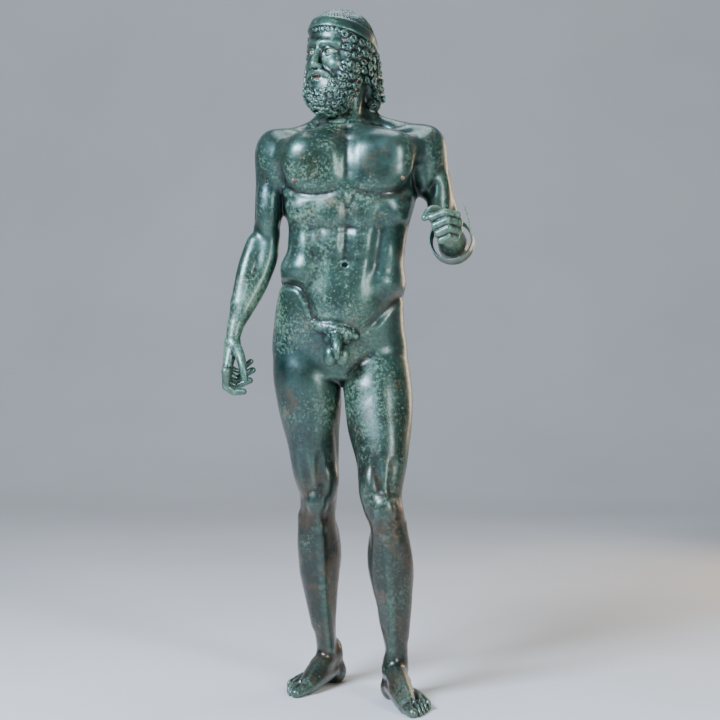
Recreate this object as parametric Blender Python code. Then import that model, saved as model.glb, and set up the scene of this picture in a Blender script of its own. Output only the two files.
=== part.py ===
"""Bronze warrior: a bearded nude standing with the weight on its right leg."""

import math

import bmesh
import bpy
import numpy as np
import openvdb
from mathutils import Matrix, Vector

# Driving dimensions, in metres
HEIGHT = 1.98
INLAY_GAP = 0.0004
ARM_BAND_WIDTH = 0.064
ARM_BAND_WALL = 0.0035

# Fineness of the cast surface before it is reduced to facets, and how many facets are kept
CELL = 4.0
FIGURE_FACETS = 7050
DETAIL = 0.15
MERGE = 0.0000005

# The figure is laid out in units of which 1975 make its height. It faces -Y and its right side is at -X.
UNIT = HEIGHT / 1975.0
SOLE = 3.0
FAR = 60.0

def smooth_min(a, b, blend):
    """The nearer of two distances, rounded over blend where they are alike."""
    h = np.clip(0.5 + 0.5 * (b - a) / blend, 0.0, 1.0)
    return b + (a - b) * h - blend * h * (1.0 - h)


def smooth_curve(points, per_span=6):
    """Points along a smooth curve through the given ones (Catmull-Rom)."""
    p = np.array(points, float)
    p = np.vstack([2 * p[0] - p[1], p, 2 * p[-1] - p[-2]])
    out = []
    for i in range(1, len(p) - 2):
        for t in np.arange(per_span) / per_span:
            out.append(
                0.5
                * (
                    2 * p[i]
                    + (p[i + 1] - p[i - 1]) * t
                    + (2 * p[i - 1] - 5 * p[i] + 4 * p[i + 1] - p[i + 2]) * t**2
                    + (3 * p[i] - p[i - 1] - 3 * p[i + 1] + p[i + 2]) * t**3
                )
            )
    out.append(p[-2])
    return np.array(out)


class Form:
    """A distance function, and the box that holds all of its surface."""

    def __init__(self, distance, points, reach):
        points = np.array(points, float).reshape(-1, 3)
        self.distance = distance
        self.low = points.min(0) - reach
        self.high = points.max(0) + reach


def egg(centre, radii, turn=None, square=2.0):
    """An ellipsoid, boxier the higher square is. The columns of turn are its own axes."""
    c = np.array(centre, float)
    r = np.array(radii, float)
    axes = np.eye(3) if turn is None else np.array(turn, float)

    def distance(x, y, z):
        u, v, w = x - c[0], y - c[1], z - c[2]
        q = [np.abs(u * axes[0, i] + v * axes[1, i] + w * axes[2, i]) for i in range(3)]
        near = sum((q[i] / r[i]) ** square for i in range(3)) ** (1.0 / square)
        near = np.maximum(near, 1e-3)
        steep = np.sqrt(sum((q[i] / r[i]) ** (2 * square - 2) / r[i] ** 2 for i in range(3)))
        return near ** (square - 1) * (near - 1.0) / np.maximum(steep, 1e-6)

    reach = np.abs(axes) @ r
    return Form(distance, [c], reach)


def tube(points, radii, per_span=4):
    """A rounded tube on a smooth curve through points, with a radius at each."""
    r = np.broadcast_to(np.array(radii, float), (len(points),))
    rows = np.column_stack((np.array(points, float), r))
    if per_span > 1 and len(rows) > 2:
        rows = smooth_curve(rows, per_span)
    p, r = rows[:, :3], rows[:, 3]

    def distance(x, y, z):
        best = None
        for a, b, ra, rb in zip(p[:-1], p[1:], r[:-1], r[1:]):
            ab = b - a
            u, v, w = x - a[0], y - a[1], z - a[2]
            t = np.clip((u * ab[0] + v * ab[1] + w * ab[2]) / max(ab @ ab, 1e-9), 0.0, 1.0)
            d = np.sqrt((u - t * ab[0]) ** 2 + (v - t * ab[1]) ** 2 + (w - t * ab[2]) ** 2)
            d = d - (ra + (rb - ra) * t)
            best = d if best is None else np.minimum(best, d)
        return best

    return Form(distance, p, r.max())


def even_rows(stations, count=160):
    """Sections worked out between the given ones, on smooth curves."""
    rows = np.array(stations, float)
    rows = rows[np.argsort(rows[:, 0])]
    s = rows[:, 0]
    slope = np.zeros_like(rows)
    d = np.diff(rows, axis=0) / np.diff(s)[:, None]
    h = np.diff(s)[:, None]
    slope[1:-1] = (d[:-1] * h[1:] + d[1:] * h[:-1]) / (h[1:] + h[:-1])
    slope[0], slope[-1] = d[0], d[-1]
    at = np.linspace(s[0], s[-1], count)
    i = np.clip(np.searchsorted(s, at, side="right") - 1, 0, len(s) - 2)
    w = (s[i + 1] - s[i])[:, None]
    t = (at - s[i])[:, None] / w
    return (
        (2 * t**3 - 3 * t**2 + 1) * rows[i]
        + (t**3 - 2 * t**2 + t) * w * slope[i]
        + (3 * t**2 - 2 * t**3) * rows[i + 1]
        + (t**3 - t**2) * w * slope[i + 1]
    )


def loft(start, end, side, stations, square=2.0, cap=30.0):
    """A limb or trunk as sections along a straight axis.

    A station is how far along it is, then the section's shift and two half widths along side,
    then its shift and two half depths along the third direction.
    """
    a = np.array(start, float)
    along = np.array(end, float) - a
    along /= np.linalg.norm(along)
    u = np.array(side, float)
    u = u - (u @ along) * along
    u /= np.linalg.norm(u)
    v = np.cross(along, u)
    table = even_rows(stations)
    s_of = table[:, 0]

    def distance(x, y, z):
        px, py, pz = x - a[0], y - a[1], z - a[2]

        def part(w):
            terms = [c * p for c, p in zip(w, (px, py, pz)) if abs(c) > 1e-9]
            return sum(terms[1:], terms[0])

        s = part(along)
        qu = part(u)
        qv = part(v)
        over = np.maximum(np.maximum(s_of[0] - s, s - s_of[-1]), 0.0)
        shift_u, low_u, high_u, shift_v, low_v, high_v = (
            np.interp(s, s_of, table[:, k]) for k in range(1, 7)
        )
        qu = qu - shift_u
        qv = qv - shift_v
        ru = np.where(qu < 0, low_u, high_u)
        rv = np.where(qv < 0, low_v, high_v)
        rho = (np.abs(qu / ru) ** square + np.abs(qv / rv) ** square) ** (1.0 / square)
        rho = np.sqrt(rho**2 + (over / cap) ** 2)
        size = np.sqrt(qu**2 + qv**2 + over**2)
        return size - size / np.maximum(rho, 1e-6) - np.where(size < 1e-3, 1.0, 0.0)

    ends = []
    for row in (table[0], table[-1], *table[::8]):
        c = a + along * row[0] + u * row[1] + v * row[4]
        for i in (-row[2], row[3]):
            for j in (-row[5], row[6]):
                ends.append(c + u * i + v * j)
    return Form(distance, ends, cap)


def fade(q):
    """1 at the middle of a mark and 0 from its edge on."""
    return np.clip(1.0 - q, 0.0, 1.0) ** 2


def spot(centre, radii, turn=None):
    """A soft round mark."""
    c = np.array(centre, float)
    r = np.array(radii, float)
    axes = np.eye(3) if turn is None else np.array(turn, float)

    def weight(x, y, z):
        q = [(x - c[0]) * axes[0, i] + (y - c[1]) * axes[1,
                                                         i] + (z - c[2]) * axes[2, i] for i in range(3)]
        return fade(sum((q[i] / r[i]) ** 2 for i in range(3)))

    return Form(weight, [c], np.abs(axes) @ r)


def line(points, width, through=None, span=(-400, 400), taper=0.2):
    """A soft mark along a line. With through, it runs right along that axis, within span."""
    p = smooth_curve(points)
    keep = [i for i in range(3) if i != through]
    n = len(p) - 1

    def weight(x, y, z):
        q = (x, y, z)
        best = along = None
        for i in range(n):
            a, ab = p[i], p[i + 1] - p[i]
            t = sum((q[k] - a[k]) * ab[k] for k in keep) / max(sum(ab[k] ** 2 for k in keep), 1e-9)
            t = np.clip(t, 0.0, 1.0)
            d = sum((q[k] - a[k] - t * ab[k]) ** 2 for k in keep)
            if best is None:
                best, along = d, (i + t) / n
            else:
                nearer = d < best
                along = np.where(nearer, (i + t) / n, along)
                best = np.where(nearer, d, best)
        ends = np.clip(np.minimum(along, 1.0 - along) / max(taper, 1e-6), 0.0, 1.0) if taper else 1.0
        return fade(best / width**2) * ends

    form = Form(weight, p, width)
    if through is not None:
        form.low[through], form.high[through] = span
    return form


class Sculpt:
    """Forms joined, cut and pressed one after another into one figure."""

    def __init__(self):
        self.steps = []

    def join(self, form, blend=10.0):
        self.steps.append(("join", form, blend))

    def cut(self, form, blend=4.0):
        self.steps.append(("cut", form, blend))

    def press(self, mark, depth):
        self.steps.append(("press", mark, depth))

    def swell(self, mark, height):
        self.steps.append(("press", mark, -height))

    def group(self, other, blend):
        self.steps.append(("group", other, blend))

    def box(self):
        lows, highs = [], []
        for kind, form, _ in self.steps:
            if kind == "join":
                lows.append(form.low)
                highs.append(form.high)
            if kind == "group":
                low, high = form.box()
                lows.append(low)
                highs.append(high)
        return np.min(lows, 0), np.max(highs, 0)

    def sample(self, axes):
        """The distance at each point of a grid, in the figure's own units."""
        values = np.full([len(a) for a in axes], FAR, np.float32)
        for kind, form, amount in self.steps:
            low, high = form.box() if kind == "group" else (form.low, form.high)
            reach = max(amount, 0.0) + 12.0 if kind in ("join", "group", "cut") else 0.0
            part, where = [], []
            for axis, a, b in zip(axes, low - reach, high + reach):
                i, j = np.searchsorted(axis, [a, b])
                where.append(slice(i, j))
                part.append(axis[i:j])
            if min(len(p) for p in part) == 0:
                continue
            where = tuple(where)
            if kind == "group":
                new = form.sample(part)
            else:
                x = part[0][:, None, None]
                y = part[1][None, :, None]
                z = part[2][None, None, :]
                new = form.distance(x, y, z)
            old = values[where]
            if kind in ("join", "group"):
                new = smooth_min(old, new, amount)
                new = np.minimum(new, FAR)
            elif kind == "cut":
                new = -smooth_min(-old, new, amount)
            else:
                new = old + amount * new
            values[where] = new
        return values


def grid_mesh(sculpt, low, high, cell, trim=None):
    """The sculpt's surface inside a box, as vertices and faces in metres."""
    axes = [np.arange(a, b + cell, cell, dtype=np.float32) for a, b in zip(low, high)]
    values = sculpt.sample(axes)
    if trim:
        values = trim(values, axes)
    for k in range(3):
        edge = [slice(None)] * 3
        for e in (0, -1):
            edge[k] = e
            values[tuple(edge)] = np.maximum(values[tuple(edge)], 1.0)
    grid = openvdb.FloatGrid(FAR)
    grid.copyFromArray(values)
    points, triangles, quads = grid.convertToPolygons(isovalue=0.0, adaptivity=0.0)
    points = (np.array(points) * cell + np.array([a[0] for a in axes])) * UNIT
    faces = [*map(tuple, np.array(triangles)), *map(tuple, np.array(quads))]
    return points, faces


def slices(rows, square=2.2, cap=25.0):
    """A limb or the trunk from level sections: height, right side, left side, front, back."""
    table = []
    for z, x0, x1, y0, y1 in rows:
        table.append((z, (x0 + x1) / 2, (x1 - x0) / 2, (x1 - x0) / 2, (y0 + y1) / 2, (y1 - y0) / 2,
                      (y1 - y0) / 2))
    return loft((0, 0, 0), (0, 0, 1), (1, 0, 0), table, square, cap)


# Level sections of the trunk and legs, each with its height, right side, left side, front and back
TRUNK = (
    (930, -212, 96, 10, 175),
    (1000, -252, 134, -10, 205),
    (1070, -250, 129, -30, 208),
    (1140, -240, 126, -42, 182),
    (1190, -229, 126, -46, 168),
    (1230, -220, 123, -47, 162),
    (1276, -205, 120, -48, 160),
    (1330, -203, 134, -53, 172),
    (1414, -216, 152, -62, 190),
    (1490, -222, 150, -64, 200),
    (1560, -205, 140, -52, 198),
    (1610, -150, 90, -26, 176),
    (1650, -110, 30, 6, 150),
)

RIGHT_LEG = (
    (100, -127, -71, 114, 190),
    (146, -132, -71, 110, 188),
    (196, -144, -71, 103, 190),
    (243, -156, -68, 96, 196),
    (290, -167, -65, 88, 202),
    (339, -178, -60, 80, 208),
    (386, -182, -56, 74, 210),
    (433, -184, -62, 68, 204),
    (480, -179, -70, 62, 192),
    (529, -175, -72, 56, 182),
    (576, -176, -66, 50, 178),
    (623, -180, -62, 42, 180),
    (670, -190, -62, 34, 184),
    (763, -222, -60, 16, 194),
    (856, -243, -54, 0, 200),
    (930, -253, -62, -6, 200),
    (1010, -246, -95, 14, 190),
    (1090, -200, -120, 60, 160),
)

LEFT_LEG = (
    (90, 76, 138, -60, 12),
    (133, 74, 137, -62, 14),
    (179, 66, 138, -66, 16),
    (225, 55, 143, -72, 22),
    (271, 48, 148, -78, 30),
    (318, 36, 151, -86, 38),
    (364, 28, 154, -93, 42),
    (410, 27, 151, -99, 40),
    (456, 30, 142, -106, 32),
    (502, 28, 130, -111, 20),
    (548, 10, 125, -114, 14),
    (593, 0, 118, -110, 22),
    (638, -6, 122, -104, 40),
    (682, -11, 132, -97, 58),
    (770, -34, 147, -78, 100),
    (860, -45, 152, -56, 140),
    (925, -48, 147, -36, 165),
    (1000, -15, 132, 8, 170),
    (1075, 20, 90, 60, 150),
)


def across(points, y=0.0):
    """Points given as seen from the front, side and height, at one depth."""
    return [(x, y, z) for x, z in points]


def body(s):
    s.join(slices(TRUNK, 2.4), 1)
    s.join(slices(RIGHT_LEG, 2.1), 20)
    s.join(slices(LEFT_LEG, 2.1), 20)
    neck_and_shoulders(s)
    back(s)
    chest_and_belly(s)
    hips(s)
    leg(s, -1)
    leg(s, 1)
    foot(s, (-74, 190), 35, -1)
    foot(s, (92, -20), 20, 1)
    right_arm(s)
    left_arm(s)


def neck_and_shoulders(s):
    s.join(tube([(-45, 105, 1590), (-50, 82, 1700), (-52, 70, 1790)], [66, 58, 58]), 24)
    s.join(tube([(-64, 120, 1716), (-126, 116, 1640), (-210, 98, 1606)], [28, 30, 30]), 34)
    s.join(tube([(-24, 120, 1720), (44, 116, 1654), (160, 98, 1622)], [28, 30, 30]), 34)
    for side in (-1, 1):
        x = -246 if side < 0 else 193
        top = 1562 if side < 0 else 1574
        s.join(egg((x, 92, top), (58, 68, 76)), 26)
        s.join(egg((x - side * 6, 62, top - 34), (42, 38, 78)), 20)
        s.join(egg((x + side * 3, 96, top - 54), (50, 48, 84)), 16)
        s.join(egg((x - side * 4, 130, top - 36), (44, 40, 78)), 20)
    # collar bones
    s.join(tube([(-54, 4, 1608), (-120, 24, 1614), (-200, 66, 1608)], [11, 10, 14]), 44)
    s.join(tube([(-16, 4, 1611), (52, 24, 1622), (140, 66, 1624)], [11, 10, 14]), 44)
    # cords of the neck, the left one drawn out by the turn of the head
    s.join(tube([(-27, 8, 1622), (-4, 34, 1706), (10, 58, 1800)], [8, 11, 16]), 30)
    s.join(tube([(-48, 8, 1622), (-74, 54, 1706), (-92, 104, 1790)], [8, 12, 16]), 30)
    s.join(egg((-56, 24, 1712), (18, 16, 24)), 18)
    s.press(spot((-37, -16, 1630), (20, 34, 18)), 9)


def back(s):
    for side in (-1, 1):
        c = -34
        s.join(egg((c + side * 100, 150, 1532), (86, 48, 92), None, 2.4), 34)
        s.join(tube([(c + side * 166, 118, 1520), (c + side * 152, 108, 1430),
                     (c + side * 122, 124, 1330)],
                    [42, 38, 26]), 30)
        s.join(tube([(c + side * 34, 152, 1560), (c - 8 + side * 38, 136, 1300),
                     (c - 22 + side * 42, 150, 1120)],
                    [32, 34, 34]), 24)
        # edges of the shoulder blade
        s.swell(line([(c + side * 70, 0, 1604), (c + side * 66, 0, 1530), (c + side * 100, 0, 1462)], 30,
                     1,
                     (120, 280)), 5)
        s.swell(line([(c + side * 78, 0, 1590), (c + side * 140, 0, 1606), (c + side * 196, 0, 1612)], 26,
                     1,
                     (120, 280)), 4)
        s.press(spot((c - 22 + side * 46, 205, 1128), (20, 50, 20)), 5)
    s.press(line([(-40, 0, 1670), (-36, 0, 1500), (-42, 0, 1300), (-56, 0, 1110)], 22, 1, (110, 280)), 9)


def chest_and_belly(s):
    # chest
    s.join(egg((-126, -24, 1526), (92, 50, 78), None, 2.3), 30)
    s.join(egg((56, -25, 1530), (94, 50, 80), None, 2.3), 30)
    s.join(egg((-120, -8, 1574), (88, 46, 54)), 34)
    s.join(egg((50, -8, 1580), (90, 46, 54)), 34)
    s.join(tube([(-160, -18, 1566), (-216, 40, 1562)], [44, 36]), 30)
    s.join(tube([(96, -18, 1572), (164, 40, 1576)], [44, 36]), 30)
    s.press(line(across([(-37, 1624), (-40, 1560), (-40, 1474)]), 24, 1, (-130, 0)), 6)
    s.press(line(across([(-224, 1510), (-205, 1472), (-165, 1448), (-105, 1448), (-40, 1470)]), 15, 1,
                 (-130, 30)), 6)
    s.press(line(across([(158, 1516), (134, 1478), (98, 1452), (30, 1450), (-38, 1470)]), 15, 1,
                 (-130, 30)), 6)
    # ribs and blocks of the belly
    for side in (-1, 1):
        s.join(egg((-36 + side * 104, -10, 1404), (66, 44, 46), None, 2.1), 28)
        s.join(egg((-37 + side * 41, -28, 1396), (44, 32, 44), None, 2.1), 26)
        s.join(egg((-40 + side * 42, -26, 1306), (45, 32, 56), None, 2.1), 26)
        s.join(egg((-44 + side * 38, -20, 1210), (50, 36, 76)), 26)
        s.join(egg((-38 + side * 116, 20, 1285), (44, 62, 84)), 34)
        for k in range(3):
            s.join(egg((-34 + side * (156 - 8 * k), 20 - 12 * k, 1448 - 32 * k), (26, 36, 13)), 14)
    s.join(egg((-50, -18, 1146), (98, 44, 88)), 22)
    s.press(line(across([(-34, 1436), (-37, 1360), (-43, 1268)]), 19, 1, (-130, 0)), 6)
    s.press(line(across([(-122, 1358), (-80, 1349), (-38, 1352), (6, 1349), (48, 1356)]), 20, 1,
                 (-130, 0)), 3)
    s.press(line(across([(-122, 1268), (-82, 1262), (-43, 1264), (-2, 1260), (38, 1264)]), 20, 1,
                 (-130, 0)), 1.5)
    s.press(line(across([(-146, 1426), (-134, 1345), (-128, 1262), (-108, 1160)]), 30, 1, (-130, 0)), 4)
    s.press(line(across([(74, 1426), (58, 1345), (46, 1262), (22, 1160)]), 30, 1, (-130, 0)), 4)
    s.press(spot((-43, -56, 1246), (11, 40, 7)), 12)
    s.swell(line(across([(-58, 1250), (-43, 1258), (-28, 1250)], -56), 8), 3)
    s.swell(spot((-34, -60, 1436), (13, 30, 20)), 4)


def hips(s):
    s.join(egg((-142, 158, 1006), (92, 74, 98)), 22)
    s.join(egg((24, 144, 980), (88, 72, 96)), 22)
    s.press(line([(-56, 0, 1086), (-60, 0, 1010), (-64, 0, 930)], 15, 1, (110, 300)), 20)
    # rolls of muscle over the hip bones, and the folds below them
    s.join(egg((-160, 42, 1236), (66, 92, 48)), 26)
    s.join(egg((62, 44, 1198), (66, 90, 48)), 26)
    s.press(line(across([(-250, 1188), (-205, 1193), (-172, 1184), (-155, 1160), (-141, 1132),
                         (-131, 1100),
                         (-112, 1080)]), 18, 1, (-120, 60), 0.15), 9)
    s.press(line(across([(140, 1160), (106, 1150), (78, 1124), (44, 1088), (6, 1058)]), 22, 1, (-120, 60),
                 0.25), 8)
    s.press(line([(-246, 0, 1186), (-200, 0, 1178), (-140, 0, 1140)], 18, 1, (60, 240)), 5)
    s.press(line([(138, 0, 1150), (90, 0, 1140), (30, 0, 1110)], 18, 1, (60, 240)), 5)
    # pubic hair and loins
    s.join(tube([(-120, -30, 1070), (-66, -46, 1066), (-12, -34, 1042)], [10, 14, 9]), 18)
    s.join(egg((-64, -32, 1042), (38, 28, 34)), 10)
    s.join(egg((-83, -56, 990), (22, 25, 32)), 7)
    s.join(egg((-49, -56, 990), (22, 25, 31)), 6)
    s.join(tube([(-66, -56, 1040), (-65, -83, 1014), (-64, -88, 988)], [17, 13, 8]), 4)


def leg(s, side):
    """The muscles and bones of a leg. Its own places are measured from the knee and ankle."""
    if side < 0:
        knee, ankle = np.array((-122, 115, 556)), np.array((-99, 150, 95))
        hip = np.array((-160, 95, 1000))
    else:
        knee, ankle, hip = np.array((66, -50, 556)), np.array((106, -24, 95)), np.array((45, 75, 985))

    def at(t, x, y, upper=False):
        """A point a share of the way down the shin, or up the thigh, x towards the outside and y back."""
        p = knee + (hip - knee) * t if upper else knee + (ankle - knee) * t
        return p + np.array((side * x, y, 0))

    # kneecap, its tendon and the shin
    s.join(egg(at(-0.01, 2, -58), (27, 23, 31), None, 2.3), 15)
    s.join(tube([at(0.03, 2, -56), at(0.15, 2, -49)], [13, 14]), 12)
    s.join(egg(at(0.16, 2, -46), (17, 15, 18)), 10)
    s.join(tube([at(0.16, 2, -43), at(0.5, 0, -43), at(0.95, -10, -30)], [14, 12, 13]), 14)
    s.press(line([at(0.06, 26, -50), at(0.0, 32, -56), at(-0.06, 26, -58)], 14), 4)
    s.press(line([at(0.06, -26, -50), at(0.0, -30, -56), at(-0.06, -26, -58)], 14), 4)
    # calf
    s.join(egg(at(0.3, -22, 42), (34, 44, 92)), 18)
    s.join(egg(at(0.27, 24, 44), (32, 42, 84)), 18)
    s.press(line([at(0.14, 0, 92), at(0.3, 0, 96), at(0.46, 0, 80)], 18), 6)
    s.join(tube([at(0.55, -2, 44), at(0.85, -2, 40), at(1.06, 0, 42)], [17, 11, 14]), 12)
    s.join(tube([at(0.1, 42, -2), at(0.4, 38, -8), at(0.8, 24, 0)], [18, 18, 12]), 18)
    s.press(line([at(0.5, -34, 20), at(0.7, -26, 22), at(0.92, -24, 24)], 16), 5)
    s.press(line([at(0.5, 30, 26), at(0.7, 22, 26), at(0.92, 22, 26)], 16), 5)
    # thigh
    s.join(egg(at(0.14, -30, -38, True), (32, 34, 54)), 20)
    s.join(egg(at(0.34, 26, -22, True), (40, 52, 118)), 26)
    s.join(tube([at(0.16, 6, -46, True), at(0.45, 6, -48, True), at(0.74, 14, -44, True)], [22, 38, 32]),
           26)
    s.press(line([at(0.1, -8, -74, True), at(0.2, -14, -80, True), at(0.36, -18, -90, True)], 20), 5)
    s.press(line([at(0.1, 20, -70, True), at(0.2, 28, -76, True), at(0.36, 36, -84, True)], 20), 4)
    s.press(line([at(0.2, -58, -10, True), at(0.5, -52, -40, True), at(0.8, -18, -80, True)], 28), 6)
    s.press(line([at(0.08, 44, 10, True), at(0.3, 62, 20, True), at(0.6, 78, 26, True)], 24), 5)
    s.join(tube([at(0.8, 14, 36, True), at(0.5, 20, 50, True), at(0.2, 30, 42, True),
                 at(-0.04, 34, 32, True)],
                [34, 38, 24, 14]), 22)
    s.join(tube([at(0.8, -14, 36, True), at(0.5, -26, 50, True), at(0.2, -28, 42, True),
                 at(-0.04, -32, 30, True)],
                [34, 38, 24, 14]), 22)
    s.press(line([at(0.14, 0, 62, True), at(0.02, 0, 66, True), at(-0.08, 0, 66, True)], 26), 7)


def foot(s, heel, angle, side):
    """A foot from the middle of its heel, turned out by an angle. side is 1 for the left foot."""
    t = math.radians(angle)
    along = np.array((side * math.sin(t), -math.cos(t), 0))
    out = np.array((side * math.cos(t), math.sin(t), 0))
    base = np.array((heel[0], heel[1], 0.0))

    def at(a, o, z):
        return base + along * a + out * o + np.array((0, 0, z))

    turn = np.column_stack((along, out, (0, 0, 1)))
    s.join(egg(at(0, 0, 30), (34, 30, 34), turn), 14)
    s.join(tube([at(4, 0, 40), at(14, 0, 100)], [27, 26]), 14)
    s.join(tube([at(26, -4, 92), at(74, -9, 74), at(126, -14, 50), at(176, -16, 28)], [30, 31, 27, 20]),
           16)
    s.join(tube([at(24, 16, 28), at(100, 28, 26), at(162, 36, 20)], [24, 24, 18]), 14)
    s.join(tube([at(40, -14, 44), at(112, -24, 36), at(174, -27, 24)], [22, 23, 23]), 14)
    s.join(egg(at(24, -29, 92), (14, 9, 17), turn), 9)
    s.join(egg(at(12, 29, 80), (13, 9, 17), turn), 9)
    # tendons over the instep
    for k in range(4):
        s.swell(line([at(70, -8 + 4 * k, 100), at(120, -14 + 11 * k, 72),
                      at(168, -12 + 15 * k, 44 - 4 * k)], 7), 3)
    # toes
    s.join(tube([at(182, -28, 22), at(210, -29, 17), at(230, -27, 15)], [18, 15.5, 15]), 6)
    for k in range(4):
        a = 184 - 9 * k - 2 * k * k
        o = -5 + 16.5 * k
        r = 11.5 - 0.7 * k
        s.join(tube([at(a - 14, o - 1, 20), at(a + 16, o, 24 - k), at(a + 32 - 3 * k, o + 1, 16 - k),
                     at(a + 38 - 4 * k, o + 1, 10)], [14, r, r - 0.5, r - 1]), 3)
    for k in range(4):
        a = 206 - 9 * k - 2 * k * k
        s.press(line([at(a - 16, -13.5 + 16.5 * k, 20), at(a + 28, -13.5 + 16.5 * k, 12)], 6.5, 2,
                     (-30, 60), 0.0), 3)


def right_arm(s):
    s.join(tube([(-248, 92, 1540), (-262, 98, 1420), (-278, 100, 1290)], [44, 40, 36]), 20)
    s.join(egg((-263, 66, 1416), (36, 34, 88)), 16)
    s.join(egg((-265, 124, 1432), (40, 36, 102)), 16)
    s.join(egg((-286, 110, 1290), (36, 34, 42)), 16)
    s.join(tube([(-290, 96, 1272), (-312, 76, 1190), (-352, 34, 1090), (-364, 14, 1036)],
                [42, 40, 27, 20]), 18)
    s.join(tube([(-306, 78, 1312), (-326, 60, 1236), (-350, 36, 1140)], [20, 27, 18]), 15)
    s.join(tube([(-258, 82, 1330), (-268, 70, 1262), (-296, 54, 1190), (-336, 28, 1110)],
                [20, 26, 24, 15]), 15)
    s.join(tube([(-292, 134, 1262), (-326, 104, 1170), (-362, 42, 1070)], [15, 18, 13]), 14)
    s.press(line([(-300, 40, 1290), (-294, 34, 1260), (-304, 24, 1200)], 18), 5)
    s.press(line([(-250, 50, 1500), (-226, 66, 1430), (-246, 76, 1350)], 16), 4)
    s.press(line([(-302, 60, 1490), (-302, 80, 1430), (-308, 90, 1360)], 16), 5)
    grip = [((-380, -28, 944), (-381, -24, 900), (-360, -20, 885), (-332, -22, 886)),
            ((-379, -6, 956), (-380, 4, 914), (-356, 12, 899), (-316, 6, 916)),
            ((-376, 16, 968), (-378, 30, 932), (-354, 40, 918), (-309, 32, 944)),
            ((-371, 34, 980), (-374, 50, 950), (-350, 60, 940), (-315, 52, 968))]
    wrist = (-364, 12, 1028)
    hand(s, wrist, grip, ((-350, -12, 1006), (-338, -34, 980), (-331, -46, 948), (-325, -46, 924)))
    s.cut(tube([(-355, -90, 925), (-348, 90, 968)], [12, 13]), 6)


def left_arm(s):
    s.join(tube([(200, 94, 1556), (236, 106, 1430), (272, 116, 1310)], [44, 39, 34]), 20)
    s.join(egg((228, 74, 1436), (35, 34, 86)), 16)
    s.join(egg((238, 132, 1436), (39, 36, 98)), 16)
    s.join(egg((280, 130, 1290), (33, 34, 38)), 16)
    s.join(tube([(279, 112, 1290), (267, 30, 1302), (246, -90, 1338), (242, -142, 1350)],
                [40, 43, 29, 22]), 18)
    s.join(tube([(276, 96, 1330), (268, 20, 1330), (250, -70, 1352)], [22, 24, 16]), 15)
    s.press(line([(206, 44, 1500), (214, 58, 1440), (236, 74, 1380)], 16), 4)
    grip = [((262, -216, 1380), (230, -240, 1388), (196, -236, 1375), (200, -206, 1367)),
            ((266, -216, 1361), (236, -243, 1367), (204, -238, 1353), (206, -208, 1347)),
            ((266, -212, 1342), (240, -241, 1346), (212, -237, 1332), (212, -207, 1328)),
            ((260, -206, 1325), (240, -233, 1326), (220, -230, 1313), (219, -201, 1312))]
    hand(s, (242, -142, 1350), grip, ((232, -158, 1374), (210, -186, 1396), (190, -214, 1394),
                                      (176, -236, 1374)))
    s.cut(tube([(236, -206, 1280), (228, -204, 1400)], [10, 9]), 6)


def hand(s, wrist, grip, thumb):
    """A closed hand: each finger is a knuckle, a joint, a joint and a tip."""
    w = np.array(wrist, float)
    for k, finger in enumerate(grip):
        p = np.array(finger, float)
        s.join(tube([w + (p[0] - w) * 0.12, p[0] + (w - p[0]) * 0.2], [17, 14]), 14)
    for k, finger in enumerate(grip):
        r = (11.7, 12.0, 11.6, 10.2)[k]
        s.join(tube(finger, [r + 1.5, r, r - 1, r - 2], 1), 3)
        p = np.array(finger, float)
        s.join(egg(p[0], (r + 2, r + 2, r + 2)), 5)
    t = np.array(thumb, float)
    s.join(tube([w, t[0], t[1], t[2], t[3]], [16, 16, 13.5, 11.5, 9.5]), 8)


HEAD_AT = np.array((-63.0, 50.0, 1848.0))
HEAD_YAW = -38.0
_y = math.radians(HEAD_YAW)
HEAD_TURN = np.array(((math.cos(_y), -math.sin(_y), 0), (math.sin(_y), math.cos(_y), 0), (0, 0, 1)))


def hd(x, y, z):
    """A point of the head, from its own middle at the height of the eyes, turned as the head is."""
    return HEAD_AT + HEAD_TURN @ np.array((x, y, z), float)


def hds(points):
    return [hd(*p) for p in points]


def head_egg(c, r, square=2.0):
    return egg(hd(*c), r, HEAD_TURN, square)


def head_tube(points, radii):
    return tube(hds(points), radii)


def ellipsoid_point(c, r, lon, lat):
    """A point on an ellipsoid: longitude from the front, positive to the left side, and latitude."""
    a, b = math.radians(lon), math.radians(lat)
    return (c[0] + r[0] * math.sin(a) * math.cos(b), c[1] - r[1] * math.cos(a) * math.cos(b),
            c[2] + r[2] * math.sin(b))


def head(s):
    skull(s)
    face(s)
    hair(s)
    beard(s)


CAP = ((0, 16, 34), (86, 106, 100))


def skull(s):
    s.join(head_egg((0, 16, 34), (82, 102, 96), 2.2), 10)
    s.join(head_egg((0, -24, -34), (60, 62, 88), 2.2), 20)
    s.join(head_egg((0, -34, -96), (46, 44, 34), 2.2), 18)


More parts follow.
